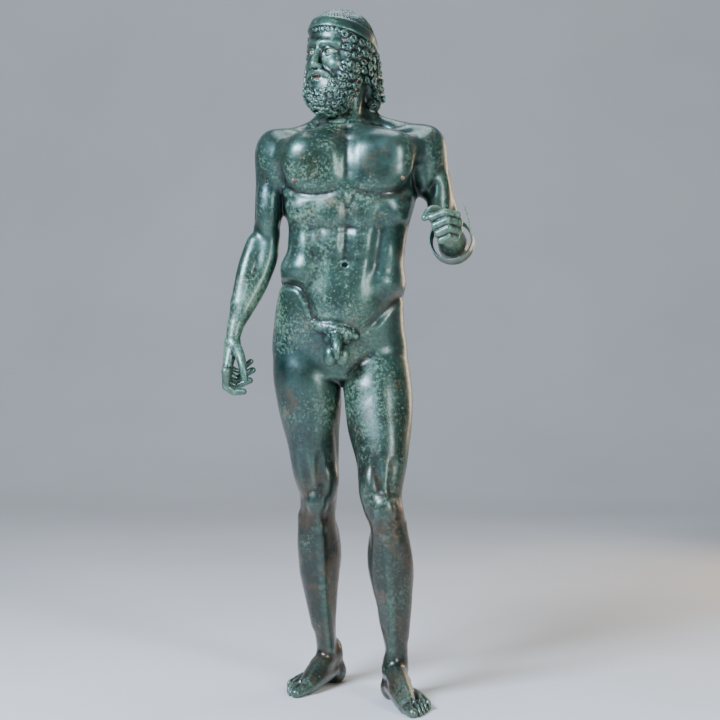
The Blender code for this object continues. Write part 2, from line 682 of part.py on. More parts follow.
def face(s):
    # brow, cheeks and nose
    s.join(head_tube([(-50, -64, 20), (-20, -82, 24), (0, -86, 22), (20, -82, 24), (50, -64, 20)],
                     [9, 10, 10, 10, 9]), 12)
    for side in (-1, 1):
        s.join(head_egg((side * 38, -58, -36), (24, 26, 24)), 16)
        s.press(spot(hd(side * 31, -86, 1), (22, 26, 14), HEAD_TURN), 13)
        s.join(head_egg((side * 30, -66, 1), (15, 10, 13)), 3)
        s.join(head_tube([(side * 13, -79, 0), (side * 22, -84, 7), (side * 31, -83, 9),
                          (side * 40, -78, 6),
                          (side * 46, -70, -1)], [2.6, 3.2, 3.4, 3.2, 2.6]), 2)
        s.join(head_tube([(side * 13, -79, -2), (side * 22, -82, -7), (side * 31, -81, -9),
                          (side * 40, -76, -6),
                          (side * 46, -70, -2)], [2.2, 2.6, 2.8, 2.6, 2.2]), 2)
    s.join(head_tube([(0, -84, 18), (0, -98, -10), (0, -110, -36)], [8, 9, 11]), 9)
    s.join(head_egg((0, -108, -41), (9, 9, 8)), 6)
    for side in (-1, 1):
        s.join(head_egg((side * 11, -99, -43), (8, 11, 8)), 5)
        s.press(spot(hd(side * 6, -106, -51), (5, 7, 5), HEAD_TURN), 4)
    # lips, a little apart
    s.join(head_egg((0, -72, -68), (36, 26, 24)), 12)
    s.join(head_tube([(-21, -90, -67), (-8, -99, -64), (0, -98, -66), (8, -99, -64), (21, -90, -67)],
                     [3.5, 4.5, 4, 4.5, 3.5]), 3)
    s.join(head_tube([(-19, -90, -75), (0, -98, -79), (19, -90, -75)], [3.5, 5.5, 3.5]), 3)
    s.press(line(hds([(-18, -96, -70), (0, -102, -71), (18, -96, -70)]), 6), 6)


def ring_curl(s, at, outward, radius, blend=5.0):
    """A lock rolled into a ring, with the hole in its middle facing outwards."""
    o = np.array(outward, float)
    o = o / np.linalg.norm(o)
    at = np.array(at, float)
    s.join(egg(hd(*at), (radius, radius, radius)), blend)
    s.press(spot(hd(*(at + o * radius)), (radius * 0.5,) * 3), radius * 0.55)


def fillet(low, high, grow):
    """A flat band round the head, lower behind, as a slice of a slightly larger skull."""
    skin = head_egg(CAP[0], np.array(CAP[1]) + grow, 2.1)

    def distance(x, y, z):
        px, py = x - HEAD_AT[0], y - HEAD_AT[1]
        back = px * HEAD_TURN[0, 1] + py * HEAD_TURN[1, 1]
        level = z - HEAD_AT[2] + 0.34 * back
        slab = np.maximum(low - level, level - high)
        return np.maximum(skin.distance(x, y, z), slab)

    form = Form(distance, [HEAD_AT], 1)
    form.low, form.high = skin.low, skin.high
    return form


def hair(s):
    # strands over the crown
    for k in range(26):
        a = 360 * k / 26
        stroke = []
        for j in range(8):
            stroke.append(hd(*ellipsoid_point(CAP[0], CAP[1], a + (5 if j % 2 else -5), 82 - 9 * j)))
        s.press(line(stroke, 7, taper=0.1), 4)
    s.join(fillet(44, 78, 5), 2)
    for k in range(13):
        a = math.radians(-57 + 9.5 * k)
        at = (80 * math.sin(a), 16 - 99 * math.cos(a), 69 - 0.34 * (16 - 99 * math.cos(a)) - 34)
        ring_curl(s, at, (math.sin(a), -math.cos(a), 0.0), 7.5 + math.sin(4 * k), 3)
    # mass falling behind the neck
    for x in (-42, 0, 42):
        s.join(head_tube([(x, 74, 10), (x * 1.08, 92, -64), (x * 1.2, 110, -134)], [32, 29, 20]), 24)
    for side in (-1, 1):
        s.join(head_egg((side * 60, 6, -6), (20, 52, 52)), 16)
        s.join(head_egg((side * 59, -22, -24), (20, 34, 62)), 12)
    # ringlets from the temples round the back and down the neck
    for k in range(7):
        t = k / 6
        z = 30 - 26 * k
        start = (50, 46, 45, 48, 58, 104, 118)[k]
        rx, ry, cy = 83 - 8 * t, 103 - 36 * t, 16 + 58 * t**1.3
        n = round((360 - 2 * start) * math.radians(1) * (rx + ry) / 2 / 25)
        for j in range(n):
            a = math.radians(start + (360 - 2 * start) * (j + 0.5 * (k % 2)) / (n - 0.5))
            drop = 0.34 * (cy - ry * math.cos(a)) * (1 - t)
            at = (rx * math.sin(a), cy - ry * math.cos(a), z - drop + 3 * math.sin(5 * j + k))
            ring_curl(s, at, (math.sin(a), -math.cos(a), 0.1), 13.5 + 1.5 * math.sin(3 * j + 2 * k))


def beard(s):
    s.join(head_egg((0, -48, -105), (68, 55, 66), 2.2), 12)
    for side in (-1, 1):
        s.join(head_tube([(side * 3, -101, -57), (side * 20, -97, -60), (side * 36, -84, -76),
                          (side * 42, -74, -96)],
                         [6, 8, 8, 5]), 4)
        s.join(head_egg((side * 58, -26, -78), (22, 42, 50)), 12)
    c, r = (0, -46, -107), (69, 57, 68)
    for i in range(5):
        lat = 14 - 21 * i
        n = round(4 + 7 * math.cos(math.radians(lat)))
        for k in range(n):
            lon = -112 + 224 * (k + 0.5 * (i % 2)) / n + 224 / n / 4
            if lat > 0 and abs(lon) < 24:
                continue
            at = np.array(ellipsoid_point(c, r, lon + 3 * math.sin(7 * k + i),
                                          lat + 3 * math.sin(5 * k + 2 * i)))
            ring_curl(s, at, at - np.array(c), 11.5 + 1.5 * math.sin(4 * k + 3 * i), 4)


# Inlays, as places on the head and chest
EYE = (30.5, -66.0, 1.0)
EYE_RADII = (13.0, 16.0, 9.5)
NIPPLES = {"nipple_right": (-186.0, 1484.0), "nipple_left": (120.0, 1491.0)}
NIPPLE_RADII = (8.0, 4.5, 8.0)

# The middles of the two fists, and how far round each the small forms reach
HANDS = ((-348.0, 0.0, 950.0), (232.0, -190.0, 1335.0))
HAND_REACH = 110.0


def material(name, colour, metallic, roughness):
    mat = bpy.data.materials.new(name)
    mat.use_nodes = True
    node = mat.node_tree.nodes["Principled BSDF"]
    node.inputs["Base Color"].default_value = (*colour, 1.0)
    node.inputs["Metallic"].default_value = metallic
    node.inputs["Roughness"].default_value = roughness
    return mat


def put(collection, name, points, faces, mat):
    mesh = bpy.data.meshes.new(name)
    mesh.from_pydata([tuple(map(float, p)) for p in points], [], [tuple(map(int, f)) for f in faces])
    mesh.validate()
    obj = bpy.data.objects.new(name, mesh)
    mesh.materials.append(mat)
    collection.objects.link(obj)
    return obj


def settle(obj):
    """Applies the object's modifiers to its own mesh."""
    graph = bpy.context.evaluated_depsgraph_get()
    mesh = bpy.data.meshes.new_from_object(obj.evaluated_get(graph))
    old = obj.data
    obj.modifiers.clear()
    obj.data = mesh
    bpy.data.meshes.remove(old)


def clean(obj):
    bm = bmesh.new()
    bm.from_mesh(obj.data)
    bmesh.ops.remove_doubles(bm, verts=bm.verts, dist=MERGE)
    bmesh.ops.dissolve_degenerate(bm, edges=bm.edges, dist=MERGE)
    bmesh.ops.triangulate(bm, faces=bm.faces)
    part_sheets(bm)
    bmesh.ops.recalc_face_normals(bm, faces=bm.faces)
    bm.to_mesh(obj.data)
    bm.free()


def part_sheets(bm):
    """Where two sheets of the surface share an edge, closes that edge up and drops the doubled facets."""
    for _ in range(6):
        shared = [e for e in bm.edges if len(e.link_faces) > 2]
        if not shared:
            break
        bmesh.ops.collapse(bm, edges=shared)
        bmesh.ops.dissolve_degenerate(bm, edges=bm.edges, dist=1e-7)
        sets = {}
        for face in bm.faces:
            sets.setdefault(frozenset(v.index for v in face.verts), []).append(face)
        doubled = [f for group in sets.values() if len(group) > 1 for f in group]
        bmesh.ops.delete(bm, geom=doubled, context="FACES")
        bmesh.ops.delete(bm, geom=[v for v in bm.verts if not v.link_faces], context="VERTS")
        rims = [e for e in bm.edges if e.is_boundary]
        if rims:
            bmesh.ops.holes_fill(bm, edges=rims, sides=0)
            bmesh.ops.triangulate(bm, faces=bm.faces)
        bm.verts.index_update()


def ball(collection, name, centre, radii, turn, mat, grow=0.0, segments=14, rings=8):
    """An ellipsoid of facets, in the figure's units."""
    bm = bmesh.new()
    bmesh.ops.create_uvsphere(bm, u_segments=segments, v_segments=rings, radius=1.0)
    sizes = Matrix.Diagonal([(r * UNIT + grow) for r in radii] + [1.0])
    frame = Matrix([list(row) for row in np.array(turn)]).to_4x4()
    bm.transform(Matrix.Translation(Vector(centre) * UNIT) @ frame @ sizes)
    bmesh.ops.recalc_face_normals(bm, faces=bm.faces)
    mesh = bpy.data.meshes.new(name)
    bm.to_mesh(mesh)
    bm.free()
    obj = bpy.data.objects.new(name, mesh)
    mesh.materials.append(mat)
    collection.objects.link(obj)
    return obj


def loop_tube(collection, name, points, radii, mat, grow=0.0, sides=8, closed=True):
    """A tube of facets along points. Closed, it runs round like a ring."""
    p = np.array(points, float) * UNIT
    n = len(p)
    verts, faces = [], []
    for i in range(n):
        before = p[(i - 1) % n] if closed or i > 0 else p[i]
        after = p[(i + 1) % n] if closed or i < n - 1 else p[i]
        t = after - before
        t /= np.linalg.norm(t)
        front = HEAD_TURN @ np.array((0.0, -1.0, 0.0))
        u = front - (front @ t) * t
        u /= np.linalg.norm(u)
        v = np.cross(t, u)
        for k in range(sides):
            a = 2 * math.pi * k / sides
            r = radii[i] * UNIT + grow
            verts.append(p[i] + (u * math.cos(a) + v * math.sin(a)) * r)
    spans = n if closed else n - 1
    for i in range(spans):
        j = (i + 1) % n
        for k in range(sides):
            m = (k + 1) % sides
            faces.append((i * sides + k, i * sides + m, j * sides + m, j * sides + k))
    if not closed:
        faces.append(tuple(range(sides))[::-1])
        faces.append(tuple((n - 1) * sides + k for k in range(sides)))
    return put(collection, name, verts, faces, mat)


def cut_away(obj, cutter):
    mod = obj.modifiers.new("cut " + cutter.name, "BOOLEAN")
    mod.operation = "DIFFERENCE"
    mod.solver = "EXACT"
    mod.use_self = True
    mod.object = cutter
    cutter.hide_render = True
    cutter.display_type = "WIRE"


def cast_figure(collection, bronze):
    """The whole cast figure, reduced to facets, with flat soles."""
    s = Sculpt()
    body(s)
    head(s)
    low, high = s.box()
    points, faces = grid_mesh(s, low - 3 * CELL, high + 3 * CELL, CELL)
    figure = put(collection, "bronze_figure", points, faces, bronze)
    # the head and hands, with their small forms, keep a larger share of the facets
    places = points / UNIT
    fine = (places[:, 2] > 1690)
    for centre in HANDS:
        fine |= np.linalg.norm(places - centre, axis=1) < HAND_REACH
    # and the surface that the inlays are let into keeps all of them
    whole = np.linalg.norm(places - hd(0, -99, -71.5), axis=1) < 36
    for side in (-1, 1):
        whole |= np.linalg.norm(places - hd(side * EYE[0], EYE[1], EYE[2]), axis=1) < 24
    for x, z in NIPPLES.values():
        whole |= (np.hypot(places[:, 0] - x, places[:, 2] - z) < 14) & (places[:, 1] < 20)
    detail = figure.vertex_groups.new(name="detail")
    share = np.where(whole, 0.0, np.where(fine, 0.5, 1.0))
    for value in (0.0, 0.5, 1.0):
        detail.add([int(i) for i in np.nonzero(share == value)[0]], value, "REPLACE")
    reduce = figure.modifiers.new("facets", "DECIMATE")
    reduce.ratio = FIGURE_FACETS / (2.0 * len(faces))
    reduce.vertex_group = "detail"
    reduce.vertex_group_factor = DETAIL
    settle(figure)
    figure.vertex_groups.clear()
    bm = bmesh.new()
    bm.from_mesh(figure.data)
    bmesh.ops.remove_doubles(bm, verts=bm.verts, dist=0.00005)
    part_sheets(bm)
    bmesh.ops.bisect_plane(bm, geom=bm.verts[:] + bm.edges[:] + bm.faces[:], dist=1e-6,
                           plane_co=(0, 0, SOLE * UNIT), plane_no=(0, 0, -1), clear_outer=True)
    rims = [e for e in bm.edges if e.is_boundary]
    bmesh.ops.holes_fill(bm, edges=rims, sides=0)
    bmesh.ops.triangulate(bm, faces=bm.faces)
    bmesh.ops.recalc_face_normals(bm, faces=bm.faces)
    bm.to_mesh(figure.data)
    bm.free()
    return figure


def arm_band(collection, bronze):
    """The loop of a lost shield: a flared band round the left forearm, with an upright ear outside."""
    elbow, wrist = np.array((279.0, 112.0, 1290.0)), np.array((246.0, -90.0, 1338.0))
    along = (wrist - elbow) / np.linalg.norm(wrist - elbow)
    centre = elbow + along * 110.0 - np.array((0, 0, 1.0))
    side = np.cross(along, (0, 0, 1.0))
    side /= np.linalg.norm(side)
    up = np.cross(side, along)
    half = ARM_BAND_WIDTH / UNIT / 2
    wall = ARM_BAND_WALL / UNIT
    profile = []
    for k in range(4):
        u = -1 + 2 * k / 3
        profile.append((half * u, 54.0 + 5.0 * u * u))
    for k in range(4):
        u = 1 - 2 * k / 3
        profile.append((half * u, 54.0 + wall + 5.0 * u * u))
    verts, faces = [], []
    n, m = 28, len(profile)
    for i in range(n):
        a = 2 * math.pi * i / n
        for s, r in profile:
            verts.append((centre + along * s + (side * math.cos(a) + up * math.sin(a)) * r) * UNIT)
    for i in range(n):
        for k in range(m):
            j, q = (i + 1) % n, (k + 1) % m
            faces.append((i * m + k, i * m + q, j * m + q, j * m + k))
    band = put(collection, "shield_armband", verts, faces, bronze)
    sign = 1.0 if side[0] > 0 else -1.0
    ear = [(55.5, -6), (57.0, 14), (50, 60), (40, 88), (31, 106), (36, 84), (45, 56), (50, 30)]
    verts, faces = [], []
    for s in (-half * 0.7, half * 0.7):
        for a, b in ear:
            verts.append((centre + along * s + side * sign * (a + 1.5) + up * b) * UNIT)
    count = len(ear)
    faces.append(tuple(range(count)))
    faces.append(tuple(range(2 * count))[count:][::-1])
    for k in range(count):
        j = (k + 1) % count
        faces.append((k, k + count, j + count, j))
    return band, verts, faces


def recalc(obj):
    bm = bmesh.new()
    bm.from_mesh(obj.data)
    bmesh.ops.recalc_face_normals(bm, faces=bm.faces)
    bm.to_mesh(obj.data)
    bm.free()


def build():
    for obj in list(bpy.data.objects):
        bpy.data.objects.remove(obj, do_unlink=True)
    parts = bpy.data.collections.new("bronze_warrior")
    cutters = bpy.data.collections.new("cutters")
    bpy.context.scene.collection.children.link(parts)
    bpy.context.scene.collection.children.link(cutters)
    cutters.hide_render = True
    bronze = material("patinated_bronze", (0.10, 0.16, 0.13), 0.9, 0.42)
    stone = material("eye_stone", (0.78, 0.72, 0.60), 0.0, 0.4)
    silver = material("tooth_silver", (0.72, 0.70, 0.66), 1.0, 0.35)
    copper = material("red_copper", (0.52, 0.24, 0.17), 1.0, 0.4)

    figure = cast_figure(parts, bronze)

    # inlays and the seats cut for them
    for name, side in (("eye_right", -1), ("eye_left", 1)):
        at = hd(side * EYE[0], EYE[1], EYE[2])
        ball(parts, name, at, EYE_RADII, HEAD_TURN, stone)
        cut_away(figure, ball(cutters, name + "_seat", at, EYE_RADII, HEAD_TURN, stone, INLAY_GAP))
    lip = lip_line()
    loop_tube(parts, "lips", *lip, copper)
    cut_away(figure, loop_tube(cutters, "lips_seat", *lip, copper, 2 * INLAY_GAP))
    row = tooth_line()
    loop_tube(parts, "teeth", *row, silver, 0.0, 6, False)
    wide = tooth_line(1.06)
    cut_away(figure, loop_tube(cutters, "teeth_seat", *wide, silver, INLAY_GAP, 6, False))
    cut_away(figure, ball(cutters, "mouth_opening", hd(0, -95, -71.5), (14, 11, 4.2), HEAD_TURN, bronze))
    for name, (x, z) in NIPPLES.items():
        hit, spot_at, _, _ = figure.ray_cast(Vector((x, -400, z)) * UNIT, Vector((0, 1, 0)))
        at = (x, spot_at.y / UNIT, z)
        ball(parts, name, at, NIPPLE_RADII, np.eye(3), copper, 0.0, 10, 5)
        seat = ball(cutters, name + "_seat", at, NIPPLE_RADII, np.eye(3), copper, INLAY_GAP, 10, 5)
        cut_away(figure, seat)
    bpy.context.view_layer.update()
    settle(figure)
    clean(figure)

    band, verts, faces = arm_band(parts, bronze)
    recalc(band)
    ear = put(cutters, "armband_ear", verts, faces, bronze)
    recalc(ear)
    join = band.modifiers.new("ear", "BOOLEAN")
    join.operation = "UNION"
    join.solver = "EXACT"
    join.object = ear
    ear.hide_render = True
    ear.display_type = "WIRE"
    bpy.context.view_layer.update()
    settle(band)
    clean(band)

    # the middle of the figure's footprint goes to the origin, its soles to the floor
    corners = []
    for obj in parts.objects:
        recalc(obj)
        corners += [v.co.copy() for v in obj.data.vertices]
    low = Vector([min(c[i] for c in corners) for i in range(3)])
    high = Vector([max(c[i] for c in corners) for i in range(3)])
    shift = Matrix.Translation((-(low.x + high.x) / 2, -(low.y + high.y) / 2, -low.z))
    for obj in list(parts.objects) + list(cutters.objects):
        obj.data.transform(shift)
        for face in obj.data.polygons:
            face.use_smooth = False


def lip_line():
    """Both lips as one ring, a little apart, with a radius at each place."""
    points, radii = [], []
    for k in range(16):
        a = 2 * math.pi * k / 16
        half = math.cos(a)
        x = 20 * half
        rise = math.sin(a)
        z = -71.5 + (7.0 if rise > 0 else 7.0) * rise - (1.2 * (1 - half * half) ** 2 if rise > 0 else 0)
        y = -99 + 0.022 * x * x
        points.append(hd(x, y, z))
        radii.append(1.7 + 2.5 * abs(rise))
    return points, radii


def tooth_line(longer=1.0):
    points, radii = [], []
    for k in range(7):
        x = (-13 + 26 * k / 6) * longer
        points.append(hd(x, -91 + 0.018 * x * x, -70.5))
        radii.append(3.2)
    return points, radii


build()
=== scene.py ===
"""Bronze warrior: the fine cast surface, inlays, finishes, light and camera."""
import math

import bmesh
import bpy
import numpy as np
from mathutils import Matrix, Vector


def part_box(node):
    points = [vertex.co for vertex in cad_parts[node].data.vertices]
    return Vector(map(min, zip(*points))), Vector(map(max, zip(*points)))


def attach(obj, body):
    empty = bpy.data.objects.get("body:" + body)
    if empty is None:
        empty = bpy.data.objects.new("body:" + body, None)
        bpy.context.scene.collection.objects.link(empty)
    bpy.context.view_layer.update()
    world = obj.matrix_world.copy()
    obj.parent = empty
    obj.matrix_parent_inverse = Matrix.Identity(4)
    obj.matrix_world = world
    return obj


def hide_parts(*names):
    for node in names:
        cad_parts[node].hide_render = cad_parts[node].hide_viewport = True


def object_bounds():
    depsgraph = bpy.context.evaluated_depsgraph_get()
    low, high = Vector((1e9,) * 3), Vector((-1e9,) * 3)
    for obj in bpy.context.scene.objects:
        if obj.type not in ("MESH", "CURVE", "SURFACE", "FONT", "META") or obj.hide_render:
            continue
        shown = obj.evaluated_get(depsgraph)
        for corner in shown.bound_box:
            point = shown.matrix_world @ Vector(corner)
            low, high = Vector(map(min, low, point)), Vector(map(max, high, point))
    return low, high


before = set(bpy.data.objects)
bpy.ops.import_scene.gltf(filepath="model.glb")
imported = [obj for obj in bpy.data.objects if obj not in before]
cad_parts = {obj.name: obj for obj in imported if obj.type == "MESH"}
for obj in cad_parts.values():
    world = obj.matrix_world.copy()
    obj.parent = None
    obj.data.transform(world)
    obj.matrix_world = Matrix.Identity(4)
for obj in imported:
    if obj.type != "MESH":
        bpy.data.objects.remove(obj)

import openvdb
from mathutils import Vector

cad_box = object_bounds()

# Driving sizes of the solids, repeated
HEIGHT = 1.98
ARM_BAND_WIDTH = 0.064
ARM_BAND_WALL = 0.0035
UNIT = HEIGHT / 1975.0
SOLE = 3.0
FAR = 60.0
NO_LIMIT = 99.0

# Cells of the cast surface, in the figure's units: fine for head, hands and feet, broad for the rest
FINE = 2.65
BROAD = 3.5
OVERLAP = 14.0
SEAT = 0.3
CROWN_STRANDS = 50

# The masses of hair in front of the ears and of beard below them, on the side of positive x
SIDE_HAIR, SIDE_HAIR_RADII = (59, -22, -24), (20, 34, 62)
SIDE_BEARD, SIDE_BEARD_RADII = (58, -26, -78), (22, 42, 50)

# The iris ramp's reach from the eye's front, in metres
IRIS_REACH = 0.012

# The floor in metres: half its width, where it starts to rise, the sweep's radius and steps, the wall's top
FLOOR_HALF = 14.0
RISE = 4.0
SWEEP = 3.0
SWEEP_STEPS = 24
WALL_TOP = 12.0

# The camera: metres back and up, its lens for a 36 mm frame and its tilt down in degrees
CAMERA_BACK = 5.2
CAMERA_HIGH = 1.25
CAMERA_LENS = 90.9
CAMERA_DOWN = 3.0

def smooth_min(a, b, blend):
    """The nearer of two distances, rounded over blend where they are alike."""
    h = np.clip(0.5 + 0.5 * (b - a) / blend, 0.0, 1.0)
    return b + (a - b) * h - blend * h * (1.0 - h)


def smooth_curve(points, per_span=6):
    """Points along a smooth curve through the given ones (Catmull-Rom)."""
    p = np.array(points, float)
    p = np.vstack([2 * p[0] - p[1], p, 2 * p[-1] - p[-2]])
    out = []
    for i in range(1, len(p) - 2):
        for t in np.arange(per_span) / per_span:
            out.append(
                0.5
                * (
                    2 * p[i]
                    + (p[i + 1] - p[i - 1]) * t
                    + (2 * p[i - 1] - 5 * p[i] + 4 * p[i + 1] - p[i + 2]) * t**2
                    + (3 * p[i] - p[i - 1] - 3 * p[i + 1] + p[i + 2]) * t**3
                )
            )
    out.append(p[-2])
    return np.array(out)


class Form:
    """A distance function, and the box that holds all of its surface."""

    def __init__(self, distance, points, reach):
        points = np.array(points, float).reshape(-1, 3)
        self.distance = distance
        self.low = points.min(0) - reach
        self.high = points.max(0) + reach


def egg(centre, radii, turn=None, square=2.0):
    """An ellipsoid, boxier the higher square is. The columns of turn are its own axes."""
    c = np.array(centre, float)
    r = np.array(radii, float)
    axes = np.eye(3) if turn is None else np.array(turn, float)

    def distance(x, y, z):
        u, v, w = x - c[0], y - c[1], z - c[2]
        q = [np.abs(u * axes[0, i] + v * axes[1, i] + w * axes[2, i]) for i in range(3)]
        near = sum((q[i] / r[i]) ** square for i in range(3)) ** (1.0 / square)
        near = np.maximum(near, 1e-3)
        steep = np.sqrt(sum((q[i] / r[i]) ** (2 * square - 2) / r[i] ** 2 for i in range(3)))
        return near ** (square - 1) * (near - 1.0) / np.maximum(steep, 1e-6)

    reach = np.abs(axes) @ r
    return Form(distance, [c], reach)


def tube(points, radii, per_span=4):
    """A rounded tube on a smooth curve through points, with a radius at each."""
    r = np.broadcast_to(np.array(radii, float), (len(points),))
    rows = np.column_stack((np.array(points, float), r))
    if per_span > 1 and len(rows) > 2:
        rows = smooth_curve(rows, per_span)
    p, r = rows[:, :3], rows[:, 3]

    def distance(x, y, z):
        best = None
        for a, b, ra, rb in zip(p[:-1], p[1:], r[:-1], r[1:]):
            ab = b - a
            u, v, w = x - a[0], y - a[1], z - a[2]
            t = np.clip((u * ab[0] + v * ab[1] + w * ab[2]) / max(ab @ ab, 1e-9), 0.0, 1.0)
            d = np.sqrt((u - t * ab[0]) ** 2 + (v - t * ab[1]) ** 2 + (w - t * ab[2]) ** 2)
            d = d - (ra + (rb - ra) * t)
            best = d if best is None else np.minimum(best, d)
        return best

    return Form(distance, p, r.max())


def even_rows(stations, count=160):
    """Sections worked out between the given ones, on smooth curves."""
    rows = np.array(stations, float)
    rows = rows[np.argsort(rows[:, 0])]
    s = rows[:, 0]
    slope = np.zeros_like(rows)
    d = np.diff(rows, axis=0) / np.diff(s)[:, None]
    h = np.diff(s)[:, None]
    slope[1:-1] = (d[:-1] * h[1:] + d[1:] * h[:-1]) / (h[1:] + h[:-1])
    slope[0], slope[-1] = d[0], d[-1]
    at = np.linspace(s[0], s[-1], count)
    i = np.clip(np.searchsorted(s, at, side="right") - 1, 0, len(s) - 2)
    w = (s[i + 1] - s[i])[:, None]
    t = (at - s[i])[:, None] / w
    return (
        (2 * t**3 - 3 * t**2 + 1) * rows[i]
        + (t**3 - 2 * t**2 + t) * w * slope[i]
        + (3 * t**2 - 2 * t**3) * rows[i + 1]
        + (t**3 - t**2) * w * slope[i + 1]
    )


def loft(start, end, side, stations, square=2.0, cap=30.0):
    """A limb or trunk as sections along a straight axis.

    A station is how far along it is, then the section's shift and two half widths along side,
    then its shift and two half depths along the third direction.
    """
    a = np.array(start, float)
    along = np.array(end, float) - a
    along /= np.linalg.norm(along)
    u = np.array(side, float)
    u = u - (u @ along) * along
    u /= np.linalg.norm(u)
    v = np.cross(along, u)
    table = even_rows(stations)
    s_of = table[:, 0]

    def distance(x, y, z):
        px, py, pz = x - a[0], y - a[1], z - a[2]

        def part(w):
            terms = [c * p for c, p in zip(w, (px, py, pz)) if abs(c) > 1e-9]
            return sum(terms[1:], terms[0])

        s = part(along)
        qu = part(u)
        qv = part(v)
        over = np.maximum(np.maximum(s_of[0] - s, s - s_of[-1]), 0.0)
        shift_u, low_u, high_u, shift_v, low_v, high_v = (
            np.interp(s, s_of, table[:, k]) for k in range(1, 7)
        )
        qu = qu - shift_u
        qv = qv - shift_v
        ru = np.where(qu < 0, low_u, high_u)
        rv = np.where(qv < 0, low_v, high_v)
        rho = (np.abs(qu / ru) ** square + np.abs(qv / rv) ** square) ** (1.0 / square)
        rho = np.sqrt(rho**2 + (over / cap) ** 2)
        size = np.sqrt(qu**2 + qv**2 + over**2)
        return size - size / np.maximum(rho, 1e-6) - np.where(size < 1e-3, 1.0, 0.0)

    ends = []
    for row in (table[0], table[-1], *table[::8]):
        c = a + along * row[0] + u * row[1] + v * row[4]
        for i in (-row[2], row[3]):
            for j in (-row[5], row[6]):
                ends.append(c + u * i + v * j)
    return Form(distance, ends, cap)


def fade(q):
    """1 at the middle of a mark and 0 from its edge on."""
    return np.clip(1.0 - q, 0.0, 1.0) ** 2


def spot(centre, radii, turn=None):
    """A soft round mark."""
    c = np.array(centre, float)
    r = np.array(radii, float)
    axes = np.eye(3) if turn is None else np.array(turn, float)

    def weight(x, y, z):
        q = [(x - c[0]) * axes[0, i] + (y - c[1]) * axes[1,
                                                         i] + (z - c[2]) * axes[2, i] for i in range(3)]
        return fade(sum((q[i] / r[i]) ** 2 for i in range(3)))

    return Form(weight, [c], np.abs(axes) @ r)


def sided(side, place):
    """A place given on the side of positive x, on that side (1) or the other (-1)."""
    return (side * place[0], place[1], place[2])


def line(points, width, through=None, span=(-400, 400), taper=0.2):
    """A soft mark along a line. With through, it runs right along that axis, within span."""
    p = smooth_curve(points)
    keep = [i for i in range(3) if i != through]
    n = len(p) - 1

    def weight(x, y, z):
        q = (x, y, z)
        best = along = None
        for i in range(n):
            a, ab = p[i], p[i + 1] - p[i]
            t = sum((q[k] - a[k]) * ab[k] for k in keep) / max(sum(ab[k] ** 2 for k in keep), 1e-9)
            t = np.clip(t, 0.0, 1.0)
            d = sum((q[k] - a[k] - t * ab[k]) ** 2 for k in keep)
            if best is None:
                best, along = d, (i + t) / n
            else:
                nearer = d < best
                along = np.where(nearer, (i + t) / n, along)
                best = np.where(nearer, d, best)
        ends = np.clip(np.minimum(along, 1.0 - along) / max(taper, 1e-6), 0.0, 1.0) if taper else 1.0
        return fade(best / width**2) * ends

    form = Form(weight, p, width)
    if through is not None:
        form.low[through], form.high[through] = span
    return form


class Sculpt:
    """Forms joined, cut and pressed one after another into one figure."""

    def __init__(self):
        self.steps = []

    def join(self, form, blend=10.0):
        self.steps.append(("join", form, blend))

    def cut(self, form, blend=4.0):
        self.steps.append(("cut", form, blend))

    def press(self, mark, depth):
        self.steps.append(("press", mark, depth))

    def swell(self, mark, height):
        self.steps.append(("press", mark, -height))

    def group(self, other, blend):
        self.steps.append(("group", other, blend))

    def box(self):
        lows, highs = [], []
        for kind, form, _ in self.steps:
            if kind == "join":
                lows.append(form.low)
                highs.append(form.high)
            if kind == "group":
                low, high = form.box()
                lows.append(low)
                highs.append(high)
        return np.min(lows, 0), np.max(highs, 0)

    def sample(self, axes):
        """The distance at each point of a grid, in the figure's own units."""
        values = np.full([len(a) for a in axes], FAR, np.float32)
        for kind, form, amount in self.steps:
            low, high = form.box() if kind == "group" else (form.low, form.high)
            reach = max(amount, 0.0) + 12.0 if kind in ("join", "group", "cut") else 0.0
            part, where = [], []
            for axis, a, b in zip(axes, low - reach, high + reach):
                i, j = np.searchsorted(axis, [a, b])
                where.append(slice(i, j))
                part.append(axis[i:j])
            if min(len(p) for p in part) == 0:
                continue
            where = tuple(where)
            if kind == "group":
                new = form.sample(part)
            else:
                x = part[0][:, None, None]
                y = part[1][None, :, None]
                z = part[2][None, None, :]
                new = form.distance(x, y, z)
            old = values[where]
            if kind in ("join", "group"):
                new = smooth_min(old, new, amount)
                new = np.minimum(new, FAR)
            elif kind == "cut":
                new = -smooth_min(-old, new, amount)
            else:
                new = old + amount * new
            values[where] = new
        return values


def grid_mesh(sculpt, low, high, cell, trim=None):
    """The sculpt's surface inside a box, as vertices and faces in metres."""
    axes = [np.arange(a, b + cell, cell, dtype=np.float32) for a, b in zip(low, high)]
    values = sculpt.sample(axes)
    if trim:
        values = trim(values, axes)
    for k in range(3):
        edge = [slice(None)] * 3
        for e in (0, -1):
            edge[k] = e
            values[tuple(edge)] = np.maximum(values[tuple(edge)], 1.0)
    grid = openvdb.FloatGrid(FAR)
    grid.copyFromArray(values)
    points, triangles, quads = grid.convertToPolygons(isovalue=0.0, adaptivity=0.0)
    points = (np.array(points) * cell + np.array([a[0] for a in axes])) * UNIT
    faces = [*map(tuple, np.array(triangles)), *map(tuple, np.array(quads))]
    return points, faces


def slices(rows, square=2.2, cap=25.0):
    """A limb or the trunk from level sections: height, right side, left side, front, back."""
    table = []
    for z, x0, x1, y0, y1 in rows:
        table.append((z, (x0 + x1) / 2, (x1 - x0) / 2, (x1 - x0) / 2, (y0 + y1) / 2, (y1 - y0) / 2,
                      (y1 - y0) / 2))
    return loft((0, 0, 0), (0, 0, 1), (1, 0, 0), table, square, cap)


